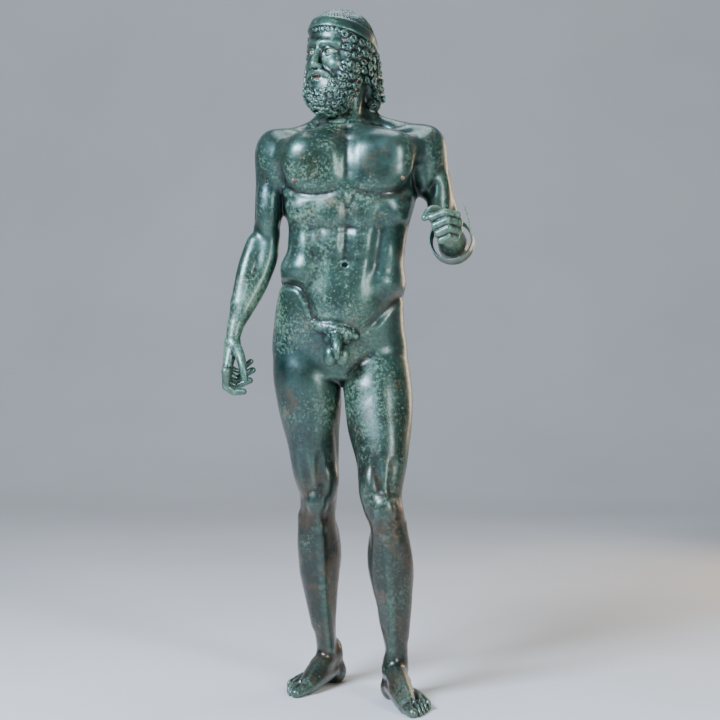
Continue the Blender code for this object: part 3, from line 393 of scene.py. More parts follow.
# Level sections of the trunk and legs, each with its height, right side, left side, front and back
TRUNK = (
    (930, -212, 96, 10, 175),
    (1000, -252, 134, -10, 205),
    (1070, -250, 129, -30, 208),
    (1140, -240, 126, -42, 182),
    (1190, -229, 126, -46, 168),
    (1230, -220, 123, -47, 162),
    (1276, -205, 120, -48, 160),
    (1330, -203, 134, -53, 172),
    (1414, -216, 152, -62, 190),
    (1490, -222, 150, -64, 200),
    (1560, -205, 140, -52, 198),
    (1610, -150, 90, -26, 176),
    (1650, -110, 30, 6, 150),
)

RIGHT_LEG = (
    (100, -127, -71, 114, 190),
    (146, -132, -71, 110, 188),
    (196, -144, -71, 103, 190),
    (243, -156, -68, 96, 196),
    (290, -167, -65, 88, 202),
    (339, -178, -60, 80, 208),
    (386, -182, -56, 74, 210),
    (433, -184, -62, 68, 204),
    (480, -179, -70, 62, 192),
    (529, -175, -72, 56, 182),
    (576, -176, -66, 50, 178),
    (623, -180, -62, 42, 180),
    (670, -190, -62, 34, 184),
    (763, -222, -60, 16, 194),
    (856, -243, -54, 0, 200),
    (930, -253, -62, -6, 200),
    (1010, -246, -95, 14, 190),
    (1090, -200, -120, 60, 160),
)

LEFT_LEG = (
    (90, 76, 138, -60, 12),
    (133, 74, 137, -62, 14),
    (179, 66, 138, -66, 16),
    (225, 55, 143, -72, 22),
    (271, 48, 148, -78, 30),
    (318, 36, 151, -86, 38),
    (364, 28, 154, -93, 42),
    (410, 27, 151, -99, 40),
    (456, 30, 142, -106, 32),
    (502, 28, 130, -111, 20),
    (548, 10, 125, -114, 14),
    (593, 0, 118, -110, 22),
    (638, -6, 122, -104, 40),
    (682, -11, 132, -97, 58),
    (770, -34, 147, -78, 100),
    (860, -45, 152, -56, 140),
    (925, -48, 147, -36, 165),
    (1000, -15, 132, 8, 170),
    (1075, 20, 90, 60, 150),
)


def across(points, y=0.0):
    """Points given as seen from the front, side and height, at one depth."""
    return [(x, y, z) for x, z in points]


def body(s):
    s.join(slices(TRUNK, 2.4), 1)
    s.join(slices(RIGHT_LEG, 2.1), 20)
    s.join(slices(LEFT_LEG, 2.1), 20)
    neck_and_shoulders(s)
    back(s)
    chest_and_belly(s)
    hips(s)
    leg(s, -1)
    leg(s, 1)
    foot(s, (-74, 190), 35, -1)
    foot(s, (92, -20), 20, 1)
    right_arm(s)
    left_arm(s)


def neck_and_shoulders(s):
    s.join(tube([(-45, 105, 1590), (-50, 82, 1700), (-52, 70, 1790)], [66, 58, 58]), 24)
    s.join(tube([(-64, 120, 1716), (-126, 116, 1640), (-210, 98, 1606)], [28, 30, 30]), 34)
    s.join(tube([(-24, 120, 1720), (44, 116, 1654), (160, 98, 1622)], [28, 30, 30]), 34)
    for side in (-1, 1):
        x = -246 if side < 0 else 193
        top = 1562 if side < 0 else 1574
        s.join(egg((x, 92, top), (58, 68, 76)), 26)
        s.join(egg((x - side * 6, 62, top - 34), (42, 38, 78)), 20)
        s.join(egg((x + side * 3, 96, top - 54), (50, 48, 84)), 16)
        s.join(egg((x - side * 4, 130, top - 36), (44, 40, 78)), 20)
    # collar bones
    s.join(tube([(-54, 4, 1608), (-120, 24, 1614), (-200, 66, 1608)], [11, 10, 14]), 44)
    s.join(tube([(-16, 4, 1611), (52, 24, 1622), (140, 66, 1624)], [11, 10, 14]), 44)
    # cords of the neck, the left one drawn out by the turn of the head
    s.join(tube([(-27, 8, 1622), (-14, 40, 1706), (-6, 70, 1800)], [8, 11, 14]), 34)
    s.join(tube([(-48, 8, 1622), (-74, 54, 1706), (-92, 104, 1790)], [8, 12, 16]), 30)
    s.join(egg((-56, 24, 1712), (18, 16, 24)), 18)
    s.press(spot((-37, -16, 1628), (26, 34, 22)), 8)


def back(s):
    for side in (-1, 1):
        c = -34
        s.join(egg((c + side * 100, 150, 1532), (86, 48, 92), None, 2.4), 34)
        s.join(tube([(c + side * 166, 118, 1520), (c + side * 152, 108, 1430),
                     (c + side * 122, 124, 1330)],
                    [42, 38, 26]), 30)
        s.join(tube([(c + side * 34, 152, 1560), (c - 8 + side * 38, 136, 1300),
                     (c - 22 + side * 42, 150, 1120)],
                    [32, 34, 34]), 24)
        # edges of the shoulder blade
        s.swell(line([(c + side * 70, 0, 1604), (c + side * 66, 0, 1530), (c + side * 100, 0, 1462)], 30,
                     1,
                     (120, 280)), 5)
        s.swell(line([(c + side * 78, 0, 1590), (c + side * 140, 0, 1606), (c + side * 196, 0, 1612)], 26,
                     1,
                     (120, 280)), 4)
        s.press(spot((c - 22 + side * 46, 205, 1128), (20, 50, 20)), 5)
    s.press(line([(-40, 0, 1670), (-36, 0, 1500), (-42, 0, 1300), (-56, 0, 1110)], 22, 1, (110, 280)), 9)


def chest_and_belly(s):
    # chest
    s.join(egg((-126, -24, 1526), (92, 50, 78), None, 2.3), 30)
    s.join(egg((56, -25, 1530), (94, 50, 80), None, 2.3), 30)
    s.join(egg((-120, -8, 1574), (88, 46, 54)), 34)
    s.join(egg((50, -8, 1580), (90, 46, 54)), 34)
    s.join(tube([(-160, -18, 1566), (-216, 40, 1562)], [44, 36]), 30)
    s.join(tube([(96, -18, 1572), (164, 40, 1576)], [44, 36]), 30)
    s.press(line(across([(-37, 1624), (-40, 1560), (-40, 1474)]), 38, 1, (-130, 0)), 5)
    s.press(line(across([(-224, 1510), (-205, 1472), (-165, 1448), (-105, 1448), (-40, 1470)]), 20, 1,
                 (-130, 30)), 6)
    s.press(line(across([(158, 1516), (134, 1478), (98, 1452), (30, 1450), (-38, 1470)]), 20, 1,
                 (-130, 30)), 6)
    # ribs and blocks of the belly
    for side in (-1, 1):
        s.join(egg((-36 + side * 104, -10, 1404), (66, 44, 46), None, 2.1), 28)
        s.join(egg((-37 + side * 41, -28, 1396), (44, 32, 44), None, 2.1), 26)
        s.join(egg((-40 + side * 42, -26, 1306), (45, 32, 56), None, 2.1), 26)
        s.join(egg((-44 + side * 38, -20, 1210), (50, 36, 76)), 26)
        s.join(egg((-38 + side * 116, 20, 1285), (44, 62, 84)), 34)
        for k in range(3):
            s.join(egg((-34 + side * (156 - 8 * k), 20 - 12 * k, 1448 - 32 * k), (26, 36, 13)), 14)
    s.join(egg((-50, -18, 1146), (98, 44, 88)), 22)
    s.press(line(across([(-34, 1436), (-37, 1360), (-43, 1268)]), 28, 1, (-130, 0)), 5)
    s.press(line(across([(-122, 1358), (-80, 1349), (-38, 1352), (6, 1349), (48, 1356)]), 20, 1,
                 (-130, 0)), 3)
    s.press(line(across([(-122, 1268), (-82, 1262), (-43, 1264), (-2, 1260), (38, 1264)]), 20, 1,
                 (-130, 0)), 1.5)
    s.press(line(across([(-146, 1426), (-134, 1345), (-128, 1262), (-108, 1160)]), 30, 1, (-130, 0)), 4)
    s.press(line(across([(74, 1426), (58, 1345), (46, 1262), (22, 1160)]), 30, 1, (-130, 0)), 4)
    s.press(spot((-43, -56, 1246), (11, 40, 7)), 12)
    s.swell(line(across([(-58, 1250), (-43, 1258), (-28, 1250)], -56), 8), 3)
    s.swell(spot((-34, -60, 1436), (13, 30, 20)), 4)


def hips(s):
    s.join(egg((-142, 158, 1006), (92, 74, 98)), 22)
    s.join(egg((24, 144, 980), (88, 72, 96)), 22)
    s.press(line([(-56, 0, 1086), (-60, 0, 1010), (-64, 0, 930)], 15, 1, (110, 300)), 20)
    # rolls of muscle over the hip bones, and the folds below them
    s.join(egg((-160, 42, 1236), (66, 92, 48)), 26)
    s.join(egg((62, 44, 1198), (66, 90, 48)), 26)
    s.press(line(across([(-250, 1188), (-205, 1193), (-172, 1184), (-155, 1160), (-141, 1132),
                         (-131, 1100),
                         (-112, 1080)]), 18, 1, (-120, 60), 0.15), 9)
    s.press(line(across([(140, 1160), (106, 1150), (78, 1124), (44, 1088), (6, 1058)]), 22, 1, (-120, 60),
                 0.25), 8)
    s.press(line([(-246, 0, 1186), (-200, 0, 1178), (-140, 0, 1140)], 18, 1, (60, 240)), 5)
    s.press(line([(138, 0, 1150), (90, 0, 1140), (30, 0, 1110)], 18, 1, (60, 240)), 5)
    # pubic hair and loins
    s.join(tube([(-120, -30, 1070), (-66, -46, 1066), (-12, -34, 1042)], [10, 14, 9]), 18)
    s.join(egg((-64, -32, 1042), (38, 28, 34)), 10)
    s.join(egg((-83, -56, 990), (22, 25, 32)), 7)
    s.join(egg((-49, -56, 990), (22, 25, 31)), 6)
    s.join(tube([(-66, -56, 1040), (-65, -83, 1014), (-64, -88, 988)], [17, 13, 8]), 4)


def leg(s, side):
    """The muscles and bones of a leg. Its own places are measured from the knee and ankle."""
    if side < 0:
        knee, ankle = np.array((-122, 115, 556)), np.array((-99, 150, 95))
        hip = np.array((-160, 95, 1000))
    else:
        knee, ankle, hip = np.array((66, -50, 556)), np.array((106, -24, 95)), np.array((45, 75, 985))

    def at(t, x, y, upper=False):
        """A point a share of the way down the shin, or up the thigh, x towards the outside and y back."""
        p = knee + (hip - knee) * t if upper else knee + (ankle - knee) * t
        return p + np.array((side * x, y, 0))

    # kneecap, its tendon and the shin
    s.join(egg(at(-0.01, 2, -56), (30, 22, 34), None, 2.2), 24)
    s.join(tube([at(0.03, 2, -56), at(0.15, 2, -49)], [13, 14]), 12)
    s.join(egg(at(0.16, 2, -46), (17, 15, 18)), 10)
    s.join(tube([at(0.16, 2, -43), at(0.5, 0, -43), at(0.95, -10, -30)], [14, 12, 13]), 22)
    s.press(line([at(0.06, 26, -50), at(0.0, 32, -56), at(-0.06, 26, -58)], 18), 3)
    s.press(line([at(0.06, -26, -50), at(0.0, -30, -56), at(-0.06, -26, -58)], 18), 3)
    # calf
    s.join(egg(at(0.3, -22, 42), (34, 44, 92)), 18)
    s.join(egg(at(0.27, 24, 44), (32, 42, 84)), 18)
    s.press(line([at(0.14, 0, 92), at(0.3, 0, 96), at(0.46, 0, 80)], 18), 6)
    s.join(tube([at(0.55, -2, 44), at(0.85, -2, 40), at(1.06, 0, 42)], [17, 11, 14]), 12)
    s.join(tube([at(0.1, 42, -2), at(0.4, 38, -8), at(0.8, 24, 0)], [18, 18, 12]), 18)
    s.press(line([at(0.5, -34, 20), at(0.7, -26, 22), at(0.92, -24, 24)], 16), 5)
    s.press(line([at(0.5, 30, 26), at(0.7, 22, 26), at(0.92, 22, 26)], 16), 5)
    # thigh
    s.join(egg(at(0.14, -30, -38, True), (32, 34, 54)), 20)
    s.join(egg(at(0.34, 26, -22, True), (40, 52, 118)), 26)
    s.join(tube([at(0.16, 6, -46, True), at(0.45, 6, -48, True), at(0.74, 14, -44, True)], [22, 38, 32]),
           26)
    s.press(line([at(0.1, -8, -74, True), at(0.2, -14, -80, True), at(0.36, -18, -90, True)], 20), 5)
    s.press(line([at(0.1, 20, -70, True), at(0.2, 28, -76, True), at(0.36, 36, -84, True)], 20), 4)
    s.press(line([at(0.2, -58, -10, True), at(0.5, -52, -40, True), at(0.8, -18, -80, True)], 28), 6)
    s.press(line([at(0.08, 44, 10, True), at(0.3, 62, 20, True), at(0.6, 78, 26, True)], 24), 5)
    s.join(tube([at(0.8, 14, 36, True), at(0.5, 20, 50, True), at(0.2, 30, 42, True),
                 at(-0.04, 34, 32, True)],
                [34, 38, 24, 14]), 22)
    s.join(tube([at(0.8, -14, 36, True), at(0.5, -26, 50, True), at(0.2, -28, 42, True),
                 at(-0.04, -32, 30, True)],
                [34, 38, 24, 14]), 22)
    s.press(line([at(0.14, 0, 62, True), at(0.02, 0, 66, True), at(-0.08, 0, 66, True)], 26), 7)


def foot(s, heel, angle, side):
    """A foot from the middle of its heel, turned out by an angle. side is 1 for the left foot."""
    t = math.radians(angle)
    along = np.array((side * math.sin(t), -math.cos(t), 0))
    out = np.array((side * math.cos(t), math.sin(t), 0))
    base = np.array((heel[0], heel[1], 0.0))

    def at(a, o, z):
        return base + along * a + out * o + np.array((0, 0, z))

    turn = np.column_stack((along, out, (0, 0, 1)))
    s.join(egg(at(2, 0, 31), (33, 29, 34), turn), 20)
    s.join(tube([at(4, 0, 40), at(12, 0, 76), at(14, 0, 110)], [29, 29, 28]), 24)
    s.join(tube([at(26, -4, 92), at(74, -9, 74), at(126, -14, 50), at(176, -16, 28)], [30, 31, 27, 20]),
           16)
    s.join(tube([at(24, 16, 28), at(100, 28, 26), at(162, 36, 20)], [24, 24, 18]), 14)
    s.join(tube([at(40, -14, 44), at(112, -24, 36), at(174, -27, 24)], [22, 23, 23]), 14)
    s.join(egg(at(24, -25, 92), (13, 9, 16), turn), 14)
    s.join(egg(at(12, 25, 80), (12, 9, 16), turn), 14)
    # tendons over the instep
    for k in range(4):
        s.swell(line([at(70, -8 + 4 * k, 100), at(120, -14 + 11 * k, 72),
                      at(168, -12 + 15 * k, 44 - 4 * k)], 7), 3)
    # toes
    s.join(tube([at(182, -28, 22), at(210, -29, 17), at(230, -27, 15)], [18, 15.5, 15]), 6)
    for k in range(4):
        a = 184 - 9 * k - 2 * k * k
        o = -5 + 16.5 * k
        r = 11.5 - 0.7 * k
        s.join(tube([at(a - 14, o - 1, 20), at(a + 16, o, 24 - k), at(a + 32 - 3 * k, o + 1, 16 - k),
                     at(a + 38 - 4 * k, o + 1, 10)], [14, r, r - 0.5, r - 1]), 3)
    for k in range(4):
        a = 206 - 9 * k - 2 * k * k
        s.press(line([at(a - 16, -13.5 + 16.5 * k, 20), at(a + 28, -13.5 + 16.5 * k, 12)], 6.5, 2,
                     (-30, 60), 0.0), 6)


def right_arm(s):
    s.join(tube([(-248, 92, 1540), (-262, 98, 1420), (-278, 100, 1290)], [44, 40, 36]), 20)
    s.join(egg((-263, 66, 1416), (36, 34, 88)), 16)
    s.join(egg((-265, 124, 1432), (40, 36, 102)), 16)
    s.join(egg((-286, 110, 1290), (36, 34, 42)), 16)
    s.join(tube([(-290, 96, 1272), (-312, 76, 1190), (-352, 34, 1090), (-364, 14, 1036)],
                [42, 40, 27, 20]), 18)
    s.join(tube([(-306, 78, 1312), (-326, 60, 1236), (-350, 36, 1140)], [20, 27, 18]), 26)
    s.join(tube([(-258, 82, 1330), (-268, 70, 1262), (-296, 54, 1190), (-336, 28, 1110)],
                [20, 26, 24, 15]), 26)
    s.join(tube([(-292, 134, 1262), (-326, 104, 1170), (-362, 42, 1070)], [15, 18, 13]), 14)
    s.press(line([(-300, 40, 1290), (-294, 34, 1260), (-304, 24, 1200)], 26), 2)
    s.press(line([(-250, 50, 1500), (-226, 66, 1430), (-246, 76, 1350)], 16), 4)
    s.press(line([(-302, 60, 1490), (-302, 80, 1430), (-308, 90, 1360)], 16), 5)
    grip = [((-380, -28, 944), (-381, -24, 900), (-360, -20, 885), (-332, -22, 886)),
            ((-379, -6, 956), (-380, 4, 914), (-356, 12, 899), (-316, 6, 916)),
            ((-376, 16, 968), (-378, 30, 932), (-354, 40, 918), (-309, 32, 944)),
            ((-371, 34, 980), (-374, 50, 950), (-350, 60, 940), (-315, 52, 968))]
    wrist = (-364, 12, 1028)
    hand(s, wrist, grip, ((-350, -12, 1006), (-338, -34, 980), (-331, -46, 948), (-325, -46, 924)))
    s.cut(tube([(-355, -90, 925), (-348, 90, 968)], [12, 13]), 6)


def left_arm(s):
    s.join(tube([(200, 94, 1556), (236, 106, 1430), (272, 116, 1310)], [44, 39, 34]), 20)
    s.join(egg((228, 74, 1436), (35, 34, 86)), 16)
    s.join(egg((238, 132, 1436), (39, 36, 98)), 16)
    s.join(egg((280, 130, 1290), (33, 34, 38)), 16)
    s.join(tube([(279, 112, 1290), (267, 30, 1302), (246, -90, 1338), (242, -142, 1350)],
                [40, 43, 29, 22]), 18)
    s.join(tube([(276, 96, 1330), (268, 20, 1330), (250, -70, 1352)], [22, 24, 16]), 15)
    s.press(line([(206, 44, 1500), (214, 58, 1440), (236, 74, 1380)], 16), 4)
    grip = [((262, -216, 1380), (230, -240, 1388), (196, -236, 1375), (200, -206, 1367)),
            ((266, -216, 1361), (236, -243, 1367), (204, -238, 1353), (206, -208, 1347)),
            ((266, -212, 1342), (240, -241, 1346), (212, -237, 1332), (212, -207, 1328)),
            ((260, -206, 1325), (240, -233, 1326), (220, -230, 1313), (219, -201, 1312))]
    hand(s, (242, -142, 1350), grip, ((232, -158, 1374), (210, -186, 1396), (190, -214, 1394),
                                      (176, -236, 1374)))
    s.cut(tube([(236, -206, 1280), (228, -204, 1400)], [10, 9]), 6)


def hand(s, wrist, grip, thumb):
    """A closed hand: each finger is a knuckle, a joint, a joint and a tip."""
    w = np.array(wrist, float)
    for k, finger in enumerate(grip):
        p = np.array(finger, float)
        s.join(tube([w + (p[0] - w) * 0.12, p[0] + (w - p[0]) * 0.2], [17, 14]), 14)
    for k, finger in enumerate(grip):
        r = (11.7, 12.0, 11.6, 10.2)[k]
        s.join(tube(finger, [r + 1.5, r, r - 1, r - 2], 1), 3)
        p = np.array(finger, float)
        s.join(egg(p[0], (r + 2, r + 2, r + 2)), 5)
    t = np.array(thumb, float)
    s.join(tube([w, t[0], t[1], t[2], t[3]], [16, 16, 13.5, 11.5, 9.5]), 8)


HEAD_AT = np.array((-63.0, 50.0, 1848.0))
HEAD_YAW = -38.0
_y = math.radians(HEAD_YAW)
HEAD_TURN = np.array(((math.cos(_y), -math.sin(_y), 0), (math.sin(_y), math.cos(_y), 0), (0, 0, 1)))


def hd(x, y, z):
    """A point of the head, from its own middle at the height of the eyes, turned as the head is."""
    return HEAD_AT + HEAD_TURN @ np.array((x, y, z), float)


def hds(points):
    return [hd(*p) for p in points]


def head_egg(c, r, square=2.0):
    return egg(hd(*c), r, HEAD_TURN, square)


def head_tube(points, radii):
    return tube(hds(points), radii)


def ellipsoid_point(c, r, lon, lat):
    """A point on an ellipsoid: longitude from the front, positive to the left side, and latitude."""
    a, b = math.radians(lon), math.radians(lat)
    return (c[0] + r[0] * math.sin(a) * math.cos(b), c[1] - r[1] * math.cos(a) * math.cos(b),
            c[2] + r[2] * math.sin(b))


def head(s):
    skull(s)
    face(s)
    hair(s)
    beard(s)


CAP = ((0, 16, 34), (86, 106, 100))


def skull(s):
    s.join(head_egg((0, 16, 34), (82, 102, 96), 2.2), 10)
    s.join(head_egg((0, -24, -34), (60, 62, 88), 2.2), 20)
    s.join(head_egg((0, -34, -96), (46, 44, 34), 2.2), 18)


def face(s):
    # brow, cheeks and nose
    s.join(head_tube([(-50, -64, 20), (-20, -82, 24), (0, -86, 22), (20, -82, 24), (50, -64, 20)],
                     [9, 10, 10, 10, 9]), 12)
    for side in (-1, 1):
        s.join(head_egg((side * 38, -58, -36), (24, 26, 24)), 16)
        s.press(spot(hd(side * 31, -86, 1), (22, 26, 14), HEAD_TURN), 13)
        s.join(head_egg((side * 30, -66, 1), (15, 10, 13)), 3)
        s.join(head_tube([(side * 13, -79, 0), (side * 22, -84, 7), (side * 31, -83, 9),
                          (side * 40, -78, 6),
                          (side * 46, -70, -1)], [2.6, 3.2, 3.4, 3.2, 2.6]), 2)
        s.join(head_tube([(side * 13, -79, -2), (side * 22, -82, -7), (side * 31, -81, -9),
                          (side * 40, -76, -6),
                          (side * 46, -70, -2)], [2.2, 2.6, 2.8, 2.6, 2.2]), 2)
    s.join(head_tube([(0, -84, 18), (0, -98, -10), (0, -110, -36)], [8, 9, 11]), 9)
    s.join(head_egg((0, -108, -41), (9, 9, 8)), 6)
    for side in (-1, 1):
        s.join(head_egg((side * 11, -99, -43), (8, 11, 8)), 5)
        s.press(spot(hd(side * 6, -106, -51), (5, 7, 5), HEAD_TURN), 4)
    # lips, a little apart
    s.join(head_egg((0, -72, -68), (36, 26, 24)), 12)
    s.join(head_tube([(-21, -90, -67), (-8, -99, -64), (0, -98, -66), (8, -99, -64), (21, -90, -67)],
                     [3.5, 4.5, 4, 4.5, 3.5]), 3)
    s.join(head_tube([(-19, -90, -75), (0, -98, -79), (19, -90, -75)], [3.5, 5.5, 3.5]), 3)
    s.press(line(hds([(-18, -96, -70), (0, -102, -71), (18, -96, -70)]), 6), 6)


def fillet(low, high, grow):
    """A flat band round the head, lower behind, as a slice of a slightly larger skull."""
    skin = head_egg(CAP[0], np.array(CAP[1]) + grow, 2.1)

    def distance(x, y, z):
        px, py = x - HEAD_AT[0], y - HEAD_AT[1]
        back = px * HEAD_TURN[0, 1] + py * HEAD_TURN[1, 1]
        level = z - HEAD_AT[2] + 0.34 * back
        slab = np.maximum(low - level, level - high)
        return np.maximum(skin.distance(x, y, z), slab)

    form = Form(distance, [HEAD_AT], 1)
    form.low, form.high = skin.low, skin.high
    return form


def hair(s):
    s.join(fillet(44, 78, 5), 2)
    for k in range(13):
        a = math.radians(-57 + 9.5 * k)
        at = (80 * math.sin(a), 16 - 99 * math.cos(a), 69 - 0.34 * (16 - 99 * math.cos(a)) - 34)
        ring_curl(s, at, (math.sin(a), -math.cos(a), 0.0), 7.5 + math.sin(4 * k), 3)
    # mass falling behind the neck
    for x in (-42, 0, 42):
        s.join(head_tube([(x, 74, 10), (x * 1.08, 92, -64), (x * 1.2, 110, -134)], [32, 29, 20]), 24)
    for side in (-1, 1):
        s.join(head_egg((side * 60, 6, -6), (20, 52, 52)), 16)
        s.join(head_egg(sided(side, SIDE_HAIR), SIDE_HAIR_RADII), 12)
    # ringlets from the temples round the back and down the neck
    for k in range(7):
        t = k / 6
        z = 30 - 26 * k
        start = (50, 46, 45, 48, 58, 104, 118)[k]
        rx, ry, cy = 83 - 8 * t, 103 - 36 * t, 16 + 58 * t**1.3
        n = round((360 - 2 * start) * math.radians(1) * (rx + ry) / 2 / 25)
        for j in range(n):
            a = math.radians(start + (360 - 2 * start) * (j + 0.5 * (k % 2)) / (n - 0.5))
            drop = 0.34 * (cy - ry * math.cos(a)) * (1 - t)
            at = (rx * math.sin(a), cy - ry * math.cos(a), z - drop + 3 * math.sin(5 * j + k))
            ring_curl(s, at, (math.sin(a), -math.cos(a), 0.1), 13.5 + 1.5 * math.sin(3 * j + 2 * k))


def beard(s):
    s.join(head_egg((0, -48, -105), (68, 55, 66), 2.2), 12)
    for side in (-1, 1):
        s.join(head_tube([(side * 3, -101, -57), (side * 20, -97, -60), (side * 36, -84, -76),
                          (side * 42, -74, -96)],
                         [6, 8, 8, 5]), 4)
        s.join(head_egg(sided(side, SIDE_BEARD), SIDE_BEARD_RADII), 12)


# Inlays, as places on the head and chest
EYE = (30.5, -66.0, 1.0)
EYE_RADII = (13.0, 16.0, 9.5)

# How far the solids were moved to stand on the floor, read from the right eye
_low, _high = (np.array(v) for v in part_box("eye_right"))
SHIFT = (_low + _high) / 2 - hd(-EYE[0], EYE[1], EYE[2]) * UNIT


# Fine carving that the solids leave out
def groove(low, high, pattern):
    """A mark whose weight any rule of place gives, within a box."""
    return Form(pattern, [low, high], 0.0)


def local_frame(at, outward):
    """The middle of a lock and three axes, the last one facing outwards."""
    o = HEAD_TURN @ (np.array(outward, float) / np.linalg.norm(outward))
    u = np.cross(o, (0.0, 0.0, 1.0))
    u /= np.linalg.norm(u)
    return hd(*at), u, np.cross(u, o), o


def lock(at, outward, radius, thick, start):
    """A lock coiled one and a half times, its end in the middle, as a form, and its strands, as a mark."""
    c, u, v, o = local_frame(at, outward)

    def places(x, y, z):
        px, py, pz = x - c[0], y - c[1], z - c[2]
        a = px * u[0] + py * u[1] + pz * u[2]
        b = px * v[0] + py * v[1] + pz * v[2]
        h = px * o[0] + py * o[1] + pz * o[2]
        turn = np.mod(np.arctan2(b, a) + start, 2 * math.pi) / (2 * math.pi)
        return turn, h, np.sqrt(a * a + b * b)

    def coil(turn, h, rho, which):
        along = turn + which
        away = np.sqrt((rho - radius * (1.0 - 0.36 * along)) ** 2 + (h - thick * (0.5 * along - 0.4)) ** 2)
        return away - thick * (1.0 - 0.22 * along)

    def distance(x, y, z):
        turn, h, rho = places(x, y, z)
        inner = np.where(turn < 0.5, coil(turn, h, rho, 1.0), NO_LIMIT)
        return np.minimum(coil(turn, h, rho, 0.0), inner)

    def weight(x, y, z):
        turn, h, rho = places(x, y, z)
        away = rho - radius * (1.0 - 0.36 * turn)
        wave = 0.5 + 0.5 * np.cos(7.0 * away / thick + 2.0 * math.pi * turn)
        return wave * np.clip((1.3 * thick - np.sqrt(away * away + h * h)) / (0.3 * thick), 0.0, 1.0)

    reach = radius + thick
    return Form(distance, [c], reach), Form(weight, [c], reach + 2.0)


def ring_curl(s, at, outward, radius, blend=5.0):
    """A lock rolled up on the head, with a deep hollow round its end."""
    o = np.array(outward, float)
    o = o / np.linalg.norm(o)
    at = np.array(at, float)
    s.join(egg(hd(*(at - o * radius * 0.3)), (radius * 0.78,) * 3), blend)
    s.press(spot(hd(*(at + o * radius * 0.45)), (radius * 0.5,) * 3), radius * 0.35)
    start = 2.4 * math.sin(0.37 * at[2] + 0.21 * at[0] + 0.13 * at[1]) + (1.6 if at[0] > 0 else -1.6)
    form, strands = lock(at + o * radius * 0.42, o, radius * 0.78, radius * 0.3, start)
    s.join(form, 1.0)
    s.press(strands, 0.09 * radius)


def crown(s):
    """The hair over the skull, thick enough to meet the band."""
    skin = head_egg(CAP[0], (CAP[1][0] + 2, CAP[1][1] + 2, 95), 2.1)

    def distance(x, y, z):
        back = (x - HEAD_AT[0]) * HEAD_TURN[0, 1] + (y - HEAD_AT[1]) * HEAD_TURN[1, 1]
        return np.maximum(skin.distance(x, y, z), 60.0 - (z - HEAD_AT[2] + 0.34 * back))

    form = Form(distance, [HEAD_AT], 1)
    form.low, form.high = skin.low, skin.high
    s.join(form, 2)


def crown_strands(s):
    """Wavy strands that run down from the crown to the band."""
    c = hd(*CAP[0])

    def weight(x, y, z):
        px, py, pz = x - c[0], y - c[1], z - c[2]
        side = px * HEAD_TURN[0, 0] + py * HEAD_TURN[1, 0]
        back = px * HEAD_TURN[0, 1] + py * HEAD_TURN[1, 1]
        flat = np.sqrt(side * side + back * back)
        wave = np.sin(CROWN_STRANDS * (np.arctan2(side, -back) + 0.075 * np.sin(flat / 8.0)))
        level = z - HEAD_AT[2] + 0.34 * (back + CAP[0][1])
        over = np.clip((level - 80.0) / 3.0, 0.0, 1.0)
        return (0.5 + 0.5 * wave) * np.clip((flat - 6.0) / 14.0, 0.0, 1.0) * over

    low, high = hd(*CAP[0]) - 130, hd(*CAP[0]) + 130
    s.press(groove(low, high, weight), 3.6)


def egg_curl(s, c, r, lon, lat, radius):
    """A rolled lock square on the skin of an egg-shaped mass of hair."""
    at = np.array(ellipsoid_point(c, r, lon, lat))
    ring_curl(s, at, (at - np.array(c)) / np.array(r) ** 2, radius, 3)


def side_locks(s):
    """Rolled locks in front of the ears and over them, from the temples down into the beard."""
    for side in (-1, 1):
        for i in range(6):
            lat = 62 - 25 * i
            for j in range(4):
                lon = side * (4 + 40 * j + 18 * (i % 2))
                if lon * side < 12 and i in (1, 2):
                    continue
                radius = 11.5 + 1.6 * math.sin(3 * i + 5 * j)
                egg_curl(s, sided(side, SIDE_HAIR), SIDE_HAIR_RADII, lon, lat, radius)
        for i in range(4):
            for j in range(4):
                lon, lat = side * (22 + 34 * j + 16 * (i % 2)), 34 - 27 * i
                radius = 11.0 + 1.4 * math.sin(4 * i + 3 * j)
                egg_curl(s, sided(side, SIDE_BEARD), tuple(r + 1 for r in SIDE_BEARD_RADII), lon, lat, radius)


def back_locks(s):
    """Rolled locks down both corners of the hair at the back of the head."""
    for side in (-1, 1):
        for i in range(6):
            z = -6 - 23 * i
            t = (10 - z) / 144
            x, y, r = 42 + 8 * t, 74 + 36 * t, 33 - 9 * t
            for j in range(3):
                b = math.radians(10 + 40 * j + 20 * (i % 2))
                at = (side * (x + r * math.cos(b)), y + r * math.sin(b), z + 3 * math.sin(5 * j + i))
                radius = 12.5 + 1.5 * math.sin(3 * i + 4 * j)
                ring_curl(s, at, (side * math.cos(b), math.sin(b), 0.1), radius, 3)


def nape_locks(s):
    """Long locks down the neck, each rolled up at its end."""
    c, r = (0, 84, -96), (76, 46, 70)
    for i in range(4):
        lat = 4 - 22 * i
        n = 11 - 2 * i
        for j in range(n):
            lon = 180 + (j - (n - 1) / 2) * (196 / n) + (6 if i % 2 else -6)
            egg_curl(s, c, r, lon, lat, 12.5 + 1.5 * math.sin(4 * i + 3 * j))


def beard_curls(s):
    """The beard's small tight curls, in uneven rows round the jaw and chin."""
    c, r = (0, -46, -107), (71, 59, 70)
    for i in range(8):
        lat = 22 - 14 * i
        reach = 124 if lat > -10 else 156
        n = round((5 + 13 * math.cos(math.radians(lat))) * reach / 124)
        for k in range(n):
            lon = -reach + 2 * reach * (k + 0.5 * (i % 2) + 0.25) / n
            if lat > -4 and abs(lon) < 26 + (8 if lat > 10 else 0):
                continue
            at = ellipsoid_point(c, r, lon + 4 * math.sin(7 * k + i), lat + 4 * math.sin(5 * k + 2 * i))
            at = np.array(at)
            ring_curl(s, at, at - np.array(c), 9.4 + 1.8 * math.sin(4 * k + 3 * i), 3)


